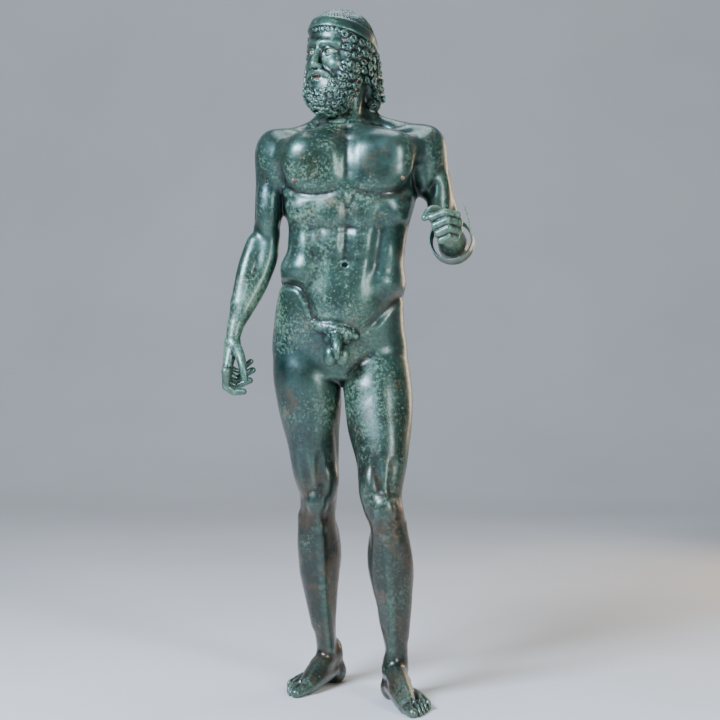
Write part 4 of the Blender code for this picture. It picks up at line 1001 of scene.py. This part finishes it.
def moustache_strands(s):
    for side in (-1, 1):
        for k in range(3):
            d = 3.2 * (k - 1)
            stroke = hds([(side * 5, -107, -57 + d), (side * 20, -105, -61 + d),
                          (side * 36, -92, -77 + d), (side * 44, -82, -94)])
            s.press(line(stroke, 2.6), 1.6)


def brow_hairs(s):
    for side in (-1, 1):
        for k in range(9):
            t = k / 8
            x = 12 + 34 * t
            y = -94 + 15 * t * t
            s.press(line(hds([(side * x, y, 17 - 2 * t), (side * (x + 5), y + 1, 25 - 4 * t)]), 2.2), 1.3)


def toes_fine(s, heel, angle, side):
    """Nails and creases of the toes, placed as the toes are."""
    t = math.radians(angle)
    along = np.array((side * math.sin(t), -math.cos(t), 0))
    out = np.array((side * math.cos(t), math.sin(t), 0))
    base = np.array((heel[0], heel[1], 0.0))

    def at(a, o, z):
        return base + along * a + out * o + np.array((0, 0, z))

    nails = [(228, -28, 30, 10.5)]
    for k in range(4):
        nails.append((184 - 9 * k - 2 * k * k + 34 - 4 * k, -4 + 16.5 * k, 24 - 1.5 * k, 6.5 - 0.5 * k))
    for a, o, z, r in nails:
        ring = []
        for j in range(9):
            q = math.pi * (0.0 + j / 8)
            ring.append(at(a + r * 0.2 - r * math.sin(q), o + r * math.cos(q), z - r * 0.1))
        s.press(line(ring, 2.4, 2, (-20, 60), 0.05), 1.3)
        if r > 9:
            s.press(line([at(a - 30, o - 10, z), at(a - 29, o + 10, z)], 3.0, 2, (0, 60)), 1.0)
        else:
            s.press(line([at(a - 15, o - 5, z), at(a - 15, o + 5, z)], 2.6, 2, (0, 60)), 1.2)


def loin_curls(s):
    """Small tight curls in rows over the loin, which slope down to its left."""
    for row in range(5):
        n = 10 - row
        for k in range(n):
            x = -130 + 8 * row + 12.5 * k + 2 * math.sin(5 * k + row)
            z = 1084 - 11 * row - 0.22 * (x + 130) + 2 * math.sin(3 * k + 2 * row)
            s.swell(spot((x, -60, z), (7.5, 60, 7.5)), 4.5)
            s.press(spot((x, -60, z), (3.4, 60, 3.4)), 5.5)


def veins(s):
    s.swell(line([(-286, 40, 1300), (-312, 34, 1230), (-330, 16, 1150), (-352, 2, 1070)], 5), 1.8)
    s.swell(line([(-262, 30, 1440), (-272, 40, 1370), (-286, 40, 1300)], 5), 1.8)
    s.swell(line([(282, 10, 1345), (276, -40, 1350), (262, -90, 1364)], 5), 1.6)
    for heel, angle, side in (((-74, 190), 35, -1), ((92, -20), 20, 1)):
        t = math.radians(angle)
        along = np.array((side * math.sin(t), -math.cos(t), 0))
        out = np.array((side * math.cos(t), math.sin(t), 0))
        base = np.array((heel[0], heel[1], 0.0))
        s.swell(line([base + along * a + out * o + np.array((0, 0, z))
                      for a, o, z in ((60, -34, 92), (104, -22, 80), (140, 4, 62), (172, 12, 46))], 5), 1.8)
        s.swell(line([base + along * a + out * o + np.array((0, 0, z))
                      for a, o, z in ((50, 22, 84), (92, 26, 64), (134, 22, 54), (150, 4, 56))], 5), 1.6)


def whole_figure():
    s = Sculpt()
    body(s)
    head(s)
    crown(s)
    side_locks(s)
    back_locks(s)
    nape_locks(s)
    beard_curls(s)
    crown_strands(s)
    moustache_strands(s)
    brow_hairs(s)
    loin_curls(s)
    veins(s)
    toes_fine(s, (-74, 190), 35, -1)
    toes_fine(s, (92, -20), 20, 1)
    for side in (-1, 1):
        s.cut(head_egg((side * EYE[0], EYE[1], EYE[2]), np.array(EYE_RADII) + SEAT), 0.4)
    ring, radii = lip_line(24)
    ring.append(ring[0])
    radii.append(radii[0])
    s.cut(tube(ring, np.array(radii) + SEAT), 0.4)
    s.cut(head_egg((0, -95, -71.5), (14, 11, 4.2)), 0.4)
    return s


def lip_line(count=16):
    points, radii = [], []
    for k in range(count):
        a = 2 * math.pi * k / count
        half = math.cos(a)
        x = 20 * half
        rise = math.sin(a)
        z = -71.5 + 7.0 * rise - (1.2 * (1 - half * half) ** 2 if rise > 0 else 0)
        points.append(hd(x, -99 + 0.022 * x * x, z))
        radii.append(1.7 + 2.5 * abs(rise))
    return points, radii


def tooth_line():
    return [hd(x, -91 + 0.018 * x * x, -70.5) for x in np.linspace(-13, 13, 13)]


# Meshes
def put_mesh(name, points, faces, mat, slot):
    """A piece of the given points and faces, in metres in the figure's own layout."""
    mesh = bpy.data.meshes.new(name)
    sizes = np.array([len(f) for f in faces], np.int32)
    loops = np.fromiter((v for f in faces for v in f), np.int32, int(sizes.sum()))
    mesh.vertices.add(len(points))
    mesh.vertices.foreach_set("co", (np.asarray(points) + SHIFT).astype(np.float32).ravel())
    mesh.loops.add(len(loops))
    mesh.loops.foreach_set("vertex_index", loops)
    mesh.polygons.add(len(sizes))
    mesh.polygons.foreach_set("loop_start", np.concatenate(([0], np.cumsum(sizes)[:-1])).astype(np.int32))
    mesh.polygons.foreach_set("use_smooth", np.full(len(sizes), True))
    mesh.update(calc_edges=True)
    mesh.validate()
    obj = bpy.data.objects.new(name, mesh)
    bpy.context.scene.collection.objects.link(obj)
    mesh.materials.append(mat)
    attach(obj, "root")
    return obj


def mark_hollows(obj, reach=4):
    """Stores how far each point lies in a hollow or on a ridge, for the painted shade in hollows and the wear
    with painted sheen on ridges.
    """
    mesh = obj.data
    n = len(mesh.vertices)
    co = np.empty(n * 3, np.float32)
    mesh.vertices.foreach_get("co", co)
    co = co.reshape(-1, 3)
    no = np.empty(n * 3, np.float32)
    mesh.vertices.foreach_get("normal", no)
    no = no.reshape(-1, 3)
    pairs = np.empty(len(mesh.edges) * 2, np.int32)
    mesh.edges.foreach_get("vertices", pairs)
    a, b = pairs.reshape(-1, 2).T
    count = np.bincount(a, minlength=n) + np.bincount(b, minlength=n)
    count = np.maximum(count, 1)

    def spread(value):
        total = np.bincount(a, value[b], n) + np.bincount(b, value[a], n)
        return total / count

    mean = np.column_stack([spread(co[:, k]) for k in range(3)])
    rise = ((mean - co) * no).sum(1)
    step = np.sqrt(((co[a] - co[b]) ** 2).sum(1)).mean()
    bend = rise / step**2
    for _ in range(reach):
        bend = 0.5 * bend + 0.5 * spread(bend)
    layer = mesh.attributes.new("hollow", "FLOAT", "POINT")
    layer.data.foreach_set("value", np.clip(bend * 0.012, -1.0, 1.0).astype(np.float32))


def slab(figure, name, low, high, cell, planes, mat, soles=False):
    """One stretch of the cast surface. Past each plane it sinks a little under its neighbour."""
    def trim(values, axes):
        x = axes[0][:, None, None]
        y = axes[1][None, :, None]
        z = axes[2][None, None, :]
        for inside in planes:
            beyond = np.maximum(-inside(x, y, z), 0.0)
            values = values + 0.8 * (beyond / OVERLAP) ** 2
            values = np.maximum(values, beyond - OVERLAP)
        if soles:
            values = np.maximum(values, SOLE - z)
        values = np.maximum(values, y - (cad_box[1][1] - SHIFT[1]) / UNIT + 0.2)
        return values

    points, faces = grid_mesh(figure, np.array(low, float), np.array(high, float), cell, trim)
    piece = put_mesh(name, points, faces, mat, "patinated_bronze")
    mark_hollows(piece)
    return piece


# Finishes
def linear(code):
    """A hex sRGB colour as linear red, green, blue and full cover."""
    out = []
    for i in (1, 3, 5):
        c = int(code[i:i + 2], 16) / 255.0
        out.append(c / 12.92 if c <= 0.04045 else ((c + 0.055) / 1.055) ** 2.4)
    return (*out, 1.0)


def add(tree, kind, settings=None, stops=(), **links):
    """Adds a node, sets its properties, inputs and colour stops, and links what is given as a socket."""
    node = tree.nodes.new("ShaderNode" + kind)
    for key, value in (settings or {}).items():
        if isinstance(key, int) or key in node.inputs:
            node.inputs[key].default_value = value
        else:
            setattr(node, key, value)
    if stops:
        band = node.color_ramp
        while len(band.elements) < len(stops):
            band.elements.new(0.5)
        for element, (place, colour) in zip(band.elements, stops):
            element.position = place
            element.color = linear(colour)
    for key, socket in links.items():
        index = int(key[1:]) if key[0] == "i" and key[1:].isdigit() else key.replace("_", " ")
        tree.links.new(socket, node.inputs[index])
    return node


def per_metre(size_mm):
    """The scale of a noise whose patches are about size_mm across."""
    return 500.0 / size_mm


def principled(name):
    mat = bpy.data.materials.new(name)
    mat.use_nodes = True
    tree = mat.node_tree
    return mat, tree, tree.nodes["Principled BSDF"]


def patinated_bronze(name="patinated_bronze"):
    """Cast bronze after centuries under water: a satin dark teal skin under grey-green crusts.

    The skin gives long soft highlights. The crusts are dull, paler and slightly raised, and the
    lower legs are browner. Hollows are darkened with painted shade, and ridges get a paler
    rubbed wear with painted sheen.
    """
    mat, tree, skin = principled(name)
    at = add(tree, "TexCoord").outputs["Object"]
    hollow = add(tree, "Attribute", {"attribute_name": "hollow"}).outputs["Fac"]
    place = add(tree, "SeparateXYZ", Vector=at)
    low = add(tree, "MapRange", {"From Min": 0.52, "From Max": 0.96, "To Min": 1.0, "To Max": 0.0},
              Value=place.outputs["Z"]).outputs["Result"]
    arm = add(tree, "MapRange", {"From Min": 0.20, "From Max": 0.32},
              Value=place.outputs["X"]).outputs["Result"]
    brown = add(tree, "Mix", {3: 1.0}, i0=arm, i2=low).outputs[0]

    # patches: each one's size across in millimetres, detail, roughness and distortion
    field = {}
    for key, size, detail, rough, warp in (
            ("wide", 130, 3, 0.6, 0.4), ("middle", 34, 6, 0.66, 0.4), ("small", 5, 5, 0.65, 0.2),
            ("crust_wide", 120, 5, 0.6, 0.5), ("crust_fine", 4.5, 7, 0.75, 0.3), ("stain", 45, 6, 0.7, 0.4),
            ("pits", 3.2, 5, 0.6, 0.0), ("uneven", 24, 3, 0.5, 0.0)):
        field[key] = add(tree, "TexNoise", {"Scale": per_metre(size), "Detail": detail, "Roughness": rough,
                                            "Distortion": warp}, Vector=at).outputs["Fac"]
    specks = add(tree, "Mix", {0: 0.55}, i2=field["crust_wide"], i3=field["crust_fine"]).outputs[0]
    # russet and ochre where the green has gone, most of it low down and on the left arm
    stain = add(tree, "Math", {"operation": "MULTIPLY_ADD", 1: 0.09}, i0=brown, i2=field["stain"]).outputs[0]
    bend = add(tree, "Math", {"operation": "MULTIPLY_ADD", 1: 0.5, 2: 0.5}, i0=hollow).outputs[0]

    # masks: where each starts and is full, and its value there
    mask = {}
    for key, source, start, full, at_start, at_full in (
            ("wide", field["wide"], 0.38, 0.62, 0.0, 1.0), ("middle", field["middle"], 0.36, 0.66, 0.0, 1.0),
            ("freckles", field["small"], 0.46, 0.60, 0.0, 1.0), ("crust", specks, 0.51, 0.60, 0.0, 1.0),
            # rubbed wear with painted sheen: a mask that lightens the ridges, from the surface's bend
            ("russet", stain, 0.56, 0.68, 0.0, 1.0), ("rubbed_and_sheen", bend, 0.36, 0.48, 0.4, 0.0),
            # painted shade: a mask that darkens the hollows, from the surface's bend
            ("painted_shade", bend, 0.50, 0.60, 0.0, 0.85)):
        mask[key] = add(tree, "MapRange", {"From Min": start, "From Max": full, "To Min": at_start,
                                           "To Max": at_full}, Value=source).outputs["Result"]

    # coats of colour, each with its cover high up and low down
    colour = add(tree, "Mix", {"data_type": "RGBA", 6: linear("#1d3c38"), 7: linear("#24402f")},
                 i0=mask["wide"]).outputs[2]
    for source, high_up, low_down, shade in (
            (low, 0.855, 0.855, "#1c1e12"), (mask["middle"], 0.392, 0.072, "#4d786a"),
            (mask["freckles"], 0.434, 0.434, "#0e1715"), (mask["crust"], 0.456, 0.188, "#82a07a"),
            # rubbed wear with painted sheen: a paler blue-green colour on the ridges
            (mask["russet"], 0.503, 0.503, "#5c4228"), (mask["rubbed_and_sheen"], 1.0, 1.0, "#5f8574"),
            # painted shade: near-black colour laid into the hollows
            (mask["painted_shade"], 1.0, 1.0, "#080c0b")):
        cover = source
        if high_up != low_down:
            share = add(tree, "MapRange", {"To Min": high_up, "To Max": low_down},
                        Value=low).outputs["Result"]
            cover = add(tree, "Math", {"operation": "MULTIPLY"}, i0=source, i1=share).outputs[0]
        elif high_up != 1.0:
            cover = add(tree, "Math", {"operation": "MULTIPLY", 1: high_up}, i0=source).outputs[0]
        colour = add(tree, "Mix", {"data_type": "RGBA", 7: linear(shade)}, i0=cover, i6=colour).outputs[2]
    tree.links.new(colour, skin.inputs["Base Color"])

    # the crust is duller and less of a metal than the skin
    metal = add(tree, "MapRange", {"To Min": 0.687, "To Max": 0.051}, Value=mask["crust"]).outputs["Result"]
    tree.links.new(metal, skin.inputs["Metallic"])
    gloss = add(tree, "MapRange", {"To Min": 0.262, "To Max": 0.392}, Value=mask["middle"]).outputs["Result"]
    for key, dull in (("freckles", 0.503), ("crust", 0.716)):
        gloss = add(tree, "Mix", {3: dull}, i0=mask[key], i2=gloss).outputs[0]
    tree.links.new(gloss, skin.inputs["Roughness"])
    skin.inputs["Coat Weight"].default_value = 0.8
    skin.inputs["Coat Roughness"].default_value = 0.28

    # pits, broad unevenness and the raised crust, each with its strength and depth in metres
    normal = {}
    for source, strength, depth in ((field["pits"], 0.35, 0.0006), (field["uneven"], 0.5, 0.0012),
                                    (mask["crust"], 0.5, 0.0005)):
        bump = add(tree, "Bump", {"Strength": strength, "Distance": depth}, Height=source, **normal)
        normal = {"Normal": bump.outputs["Normal"]}
    tree.links.new(normal["Normal"], skin.inputs["Normal"])
    return mat


def red_copper():
    """Copper hammered in for lips and nipples: redder and a little duller than the bronze."""
    mat, tree, skin = principled("red_copper")
    at = add(tree, "TexCoord").outputs["Object"]
    patches = {"Detail": 4.0, "Roughness": 0.6}
    cloud = add(tree, "TexNoise", {"Scale": per_metre(6), **patches}, Vector=at).outputs["Fac"]
    tint = add(tree, "ValToRGB", None, ((0.35, "#5c473b"), (0.65, "#856858")), Fac=cloud)
    tree.links.new(tint.outputs["Color"], skin.inputs["Base Color"])
    skin.inputs["Metallic"].default_value = 0.8
    grain = add(tree, "TexNoise", {"Scale": per_metre(4), **patches}, Vector=at).outputs["Fac"]
    dull = add(tree, "MapRange", {"From Min": 0.3, "From Max": 0.7, "To Min": 0.38, "To Max": 0.55},
               Value=grain)
    tree.links.new(dull.outputs["Result"], skin.inputs["Roughness"])
    dents = add(tree, "TexNoise", {"Scale": per_metre(2), "Detail": 3.0, "Roughness": 0.6}, Vector=at)
    bump = add(tree, "Bump", {"Strength": 0.3, "Distance": 0.0003}, Height=dents.outputs["Fac"])
    tree.links.new(bump.outputs["Normal"], skin.inputs["Normal"])
    return mat


def tooth_silver():
    """Sheet silver over the teeth, tarnished to a warm grey."""
    mat, tree, skin = principled("tooth_silver")
    at = add(tree, "TexCoord").outputs["Object"]
    cloud = add(tree, "TexNoise", {"Scale": per_metre(5), "Detail": 4.0, "Roughness": 0.6}, Vector=at)
    tint = add(tree, "ValToRGB", None, ((0.35, "#8b867c"), (0.65, "#c9c5bb")), Fac=cloud.outputs["Fac"])
    tree.links.new(tint.outputs["Color"], skin.inputs["Base Color"])
    skin.inputs["Metallic"].default_value = 0.9
    skin.inputs["Roughness"].default_value = 0.4
    return mat


def eye_stone(name, centre, turn):
    """Polished ivory-white stone with a darker glass-like disc let into its front for the iris."""
    mat, tree, skin = principled(name)
    at = add(tree, "TexCoord").outputs["Object"]
    ahead = Vector(turn @ np.array((0.0, -1.0, 0.0)))
    front = Vector(centre) + ahead * EYE_RADII[1] * UNIT
    reach = add(tree, "VectorMath", {"operation": "DISTANCE", 1: front}, i0=at).outputs["Value"]
    rings = add(tree, "MapRange", {"From Min": 0.0, "From Max": IRIS_REACH}, Value=reach).outputs["Result"]
    cloud = add(tree, "TexNoise", {"Scale": per_metre(7), "Detail": 4.0, "Roughness": 0.6}, Vector=at)
    white = add(tree, "ValToRGB", None, ((0.3, "#c4bfa4"), (0.7, "#e4e0cf")), Fac=cloud.outputs["Fac"])
    iris = add(tree, "ValToRGB", None,
               ((0.0, "#14110d"), (0.17, "#17130e"), (0.22, "#a39a72"), (0.40, "#8d8460"),
                (0.44, "#2a241a"), (0.50, "#d8d3bf")), Fac=rings)
    inside = add(tree, "MapRange", {"From Min": 0.46, "From Max": 0.50, "To Min": 1.0, "To Max": 0.0},
                 Value=rings)
    colour = add(tree, "Mix", {"data_type": "RGBA"}, i0=inside.outputs["Result"], i6=white.outputs["Color"],
                 i7=iris.outputs["Color"])
    tree.links.new(colour.outputs[2], skin.inputs["Base Color"])
    skin.inputs["Roughness"].default_value = 0.22
    return mat


def studio_floor():
    """A matt pale floor."""
    mat, tree, skin = principled("studio_floor")
    at = add(tree, "TexCoord").outputs["Object"]
    cloud = add(tree, "TexNoise", {"Scale": per_metre(400), "Detail": 3.0, "Roughness": 0.5}, Vector=at)
    tint = add(tree, "ValToRGB", None, ((0.3, "#cfcdc8"), (0.7, "#d6d4cf")), Fac=cloud.outputs["Fac"])
    tree.links.new(tint.outputs["Color"], skin.inputs["Base Color"])
    skin.inputs["Roughness"].default_value = 0.8
    return mat


# The smaller pieces
def round_mesh(centre, radii, turn, around=40, along=24):
    """An ellipsoid's points and faces, in metres."""
    bm = bmesh.new()
    bmesh.ops.create_uvsphere(bm, u_segments=around, v_segments=along, radius=1.0)
    points = np.array([v.co for v in bm.verts]) * np.array(radii)
    faces = [tuple(v.index for v in f.verts) for f in bm.faces]
    bm.free()
    return (points @ np.array(turn).T + np.array(centre)) * UNIT, faces


def tube_mesh(points, radii, sides, closed):
    """A round tube along points, in metres."""
    p = np.array(points, float)
    n = len(p)
    verts, faces = [], []
    front = HEAD_TURN @ np.array((0.0, -1.0, 0.0))
    for i in range(n):
        before = p[(i - 1) % n] if closed or i > 0 else p[i]
        after = p[(i + 1) % n] if closed or i < n - 1 else p[i]
        t = (after - before) / np.linalg.norm(after - before)
        u = front - (front @ t) * t
        u /= np.linalg.norm(u)
        v = np.cross(t, u)
        for k in range(sides):
            a = 2 * math.pi * k / sides
            verts.append(p[i] + (u * math.cos(a) + v * math.sin(a)) * radii[i])
    for i in range(n if closed else n - 1):
        j = (i + 1) % n
        for k in range(sides):
            m = (k + 1) % sides
            faces.append((i * sides + k, i * sides + m, j * sides + m, j * sides + k))
    if not closed:
        faces.append(tuple(range(sides))[::-1])
        faces.append(tuple((n - 1) * sides + k for k in range(sides)))
    return np.array(verts) * UNIT, faces


def arm_band_mesh():
    """The loop of a lost shield round the left forearm: a flared band with rolled rims and an upright ear."""
    elbow, wrist = np.array((279.0, 112.0, 1290.0)), np.array((246.0, -90.0, 1338.0))
    along = (wrist - elbow) / np.linalg.norm(wrist - elbow)
    centre = elbow + along * 110.0 - np.array((0, 0, 1.0))
    side = np.cross(along, (0, 0, 1.0))
    side /= np.linalg.norm(side)
    up = np.cross(side, along)
    half = ARM_BAND_WIDTH / UNIT / 2
    wall = ARM_BAND_WALL / UNIT
    profile = []
    for k in range(13):
        u = -1 + k / 6
        profile.append((half * u, 54.4 + 5.0 * u * u))
    for k in range(13):
        u = 1 - k / 6
        roll = 0.9 * math.exp(-((abs(u) - 0.9) / 0.08) ** 2) - 0.5 * math.exp(-((abs(u) - 0.72) / 0.06) ** 2)
        profile.append((half * u, 53.6 + wall + 5.0 * u * u + roll))
    verts, faces = [], []
    n, m = 112, len(profile)
    for i in range(n):
        a = 2 * math.pi * i / n
        for s, r in profile:
            verts.append(centre + along * s + (side * math.cos(a) + up * math.sin(a)) * r)
    for i in range(n):
        for k in range(m):
            j, q = (i + 1) % n, (k + 1) % m
            faces.append((i * m + k, i * m + q, j * m + q, j * m + k))
    sign = 1.0 if side[0] > 0 else -1.0
    outline = smooth_curve([(57, -6), (58.5, 14), (51.5, 60), (41.5, 88), (32.5, 106)], 6)
    back = smooth_curve([(32.5, 106), (37.5, 84), (46.5, 56), (51.5, 30), (55.5, 4), (57, -6)], 6)
    ear = np.vstack((outline, back[1:-1]))
    start = len(verts)
    widths = (-0.7, -0.66, 0.66, 0.7)
    middle = ear.mean(0)
    for w in widths:
        shrink = 0.93 if abs(w) > 0.68 else 1.0
        for a, b in ear:
            a, b = middle + (np.array((a, b)) - middle) * shrink
            verts.append(centre + along * w * half + side * sign * a + up * b)
    c = len(ear)
    faces.append(tuple(start + k for k in range(c)))
    faces.append(tuple(start + 3 * c + k for k in range(c))[::-1])
    for w in range(3):
        for k in range(c):
            j = (k + 1) % c
            here, beyond = start + w * c, start + (w + 1) * c
            faces.append((here + k, beyond + k, beyond + j, here + j))
    return np.array(verts) * UNIT, faces


def outward(obj):
    bm = bmesh.new()
    bm.from_mesh(obj.data)
    bmesh.ops.recalc_face_normals(bm, faces=bm.faces)
    bm.to_mesh(obj.data)
    bm.free()
    obj.data.update()


# The whole scene
bronze = patinated_bronze()
armband_bronze = patinated_bronze("armband_bronze")
copper = red_copper()

figure = whole_figure()


def above(z0):
    return lambda x, y, z: z - z0


def below(z0):
    return lambda x, y, z: z0 - z


# Where the cast surface is parted: heights, then the limits beside the two hands
FEET, KNEES, WRIST, LOIN, WAIST, NECK = 150.0, 600.0, 1012.0, 1042.0, 1330.0, 1642.0
LEFT_WRIST = -128.0
RIGHT_HAND_SIDE = -276.0
LEFT_ARM_SIDE = 140.0
LEFT_ARM_FOOT = 1200.0
# Each slab's box reaches a little past the overlap
pad = OVERLAP + 8


def clear_of_right_hand(x, y, z):
    return np.where(x < RIGHT_HAND_SIDE, z - WRIST, NO_LIMIT)


def clear_of_left_hand(x, y, z):
    return np.where((x > LEFT_ARM_SIDE) & (z > LEFT_ARM_FOOT), y - LEFT_WRIST, NO_LIMIT)


pieces = [
    slab(figure, "feet", (-240, -300, -8), (260, 280, FEET + pad), FINE, [below(FEET)], bronze, True),
    slab(figure, "shins", (-240, -180, FEET - pad), (220, 300, KNEES + pad), BROAD,
         [above(FEET), below(KNEES)], bronze),
    slab(figure, "thighs", (-410, -130, KNEES - pad), (240, 320, LOIN + pad), BROAD,
         [above(KNEES), below(LOIN), clear_of_right_hand], bronze),
    slab(figure, "belly", (-410, -160, LOIN - pad), (340, 300, WAIST + pad), BROAD,
         [above(LOIN), below(WAIST), clear_of_left_hand], bronze),
    slab(figure, "chest", (-340, -160, WAIST - pad), (340, 300, NECK + pad), BROAD,
         [above(WAIST), below(NECK), clear_of_left_hand], bronze),
    slab(figure, "head", (-240, -160, NECK - pad), (140, 240, 1990), FINE, [above(NECK)], bronze),
    slab(figure, "right_hand", (-420, -100, 850), (RIGHT_HAND_SIDE, 190, WRIST + pad), FINE,
         [below(WRIST), lambda x, y, z: RIGHT_HAND_SIDE - x], bronze),
    slab(figure, "left_hand", (LEFT_ARM_SIDE, -280, 1240), (340, LEFT_WRIST + pad, 1440), FINE,
         [lambda x, y, z: LEFT_WRIST - y], bronze),
]
for piece in pieces:
    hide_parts("bronze_figure")

for name, side in (("eye_right", -1), ("eye_left", 1)):
    centre = hd(side * EYE[0], EYE[1], EYE[2])
    stone = eye_stone(name + "_stone", centre * UNIT + SHIFT, HEAD_TURN)
    ball = put_mesh(name + "_inlay", *round_mesh(centre, EYE_RADII, HEAD_TURN, 48, 32), stone, "eye_stone")
    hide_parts(name)
ring, radii = lip_line(48)
lips = put_mesh("copper_lips", *tube_mesh(ring, radii, 20, True), copper, "red_copper")
outward(lips)
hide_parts("lips")
row = tooth_line()
plate = put_mesh("silver_teeth", *tube_mesh(row, [3.2] * len(row), 16, False), tooth_silver(), "tooth_silver")
outward(plate)
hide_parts("teeth")
for name in ("nipple_right", "nipple_left"):
    low, high = (np.array(c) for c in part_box(name))
    middle = (low + high) / 2 - SHIFT
    size = (high - low) / 2
    disc = put_mesh("copper_" + name, *round_mesh(middle / UNIT, size / UNIT, np.eye(3), 32, 20), copper,
                    "red_copper")
    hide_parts(name)
band = put_mesh("armband", *arm_band_mesh(), armband_bronze, "armband_bronze")
outward(band)
band.data.set_sharp_from_angle(angle=math.radians(40))
band.data.attributes.new("hollow", "FLOAT", "POINT")
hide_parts("shield_armband")

# the floor, which curves up behind into a plain wall
profile = [(-FLOOR_HALF, 0.0), (RISE, 0.0)]
for k in range(1, SWEEP_STEPS + 1):
    a = math.pi / 2 * k / SWEEP_STEPS
    profile.append((RISE + SWEEP * math.sin(a), SWEEP - SWEEP * math.cos(a)))
profile.append((RISE + SWEEP, WALL_TOP))
points = [(x, y, z) for y, z in profile for x in (-FLOOR_HALF, FLOOR_HALF)]
faces = [(2 * k, 2 * k + 1, 2 * k + 3, 2 * k + 2) for k in range(len(profile) - 1)]
mesh = bpy.data.meshes.new("floor")
mesh.from_pydata(points, [], faces)
mesh.shade_smooth()
floor = bpy.data.objects.new("floor", mesh)
bpy.context.scene.collection.objects.link(floor)
mesh.materials.append(studio_floor())

# light: a broad soft source ahead on the left, weaker ones on the right, above and behind
def lamp(name, place, aim, size, power, colour="#ffffff"):
    data = bpy.data.lights.new(name, "AREA")
    data.shape = "RECTANGLE"
    data.size, data.size_y = size
    data.energy = power
    data.color = linear(colour)[:3]
    obj = bpy.data.objects.new(name, data)
    obj.location = place
    obj.rotation_euler = (Vector(aim) - Vector(place)).to_track_quat("-Z", "Y").to_euler()
    bpy.context.scene.collection.objects.link(obj)


lamp("key", (-2.4, -2.6, 3.4), (0, 0, 1.2), (1.8, 1.2), 560, "#cde0ff")
lamp("fill", (2.4, -3.0, 1.8), (0, 0, 1.0), (0.7, 2.2), 130, "#e6eef6")
lamp("top", (0.2, 0.8, 4.0), (0, 0, 1.0), (1.6, 1.6), 45, "#eaf2ff")
lamp("back", (2.2, 2.2, 1.5), (0, 0, 1.0), (0.8, 1.8), 30, "#ffe2c2")
world = bpy.data.worlds.new("studio")
bpy.context.scene.world = world
world.use_nodes = True
world.node_tree.nodes["Background"].inputs["Color"].default_value = linear("#e9edf2")
world.node_tree.nodes["Background"].inputs["Strength"].default_value = 0.22

# the camera, at the height of the chest and a little over five metres off
eye_point = Vector((0.0, -CAMERA_BACK, CAMERA_HIGH)) + Vector(SHIFT)
data = bpy.data.cameras.new("camera")
data.lens = CAMERA_LENS
camera = bpy.data.objects.new("camera", data)
camera.location = eye_point
camera.rotation_euler = (math.radians(90.0 - CAMERA_DOWN), 0, 0)
bpy.context.scene.collection.objects.link(camera)
bpy.context.scene.camera = camera
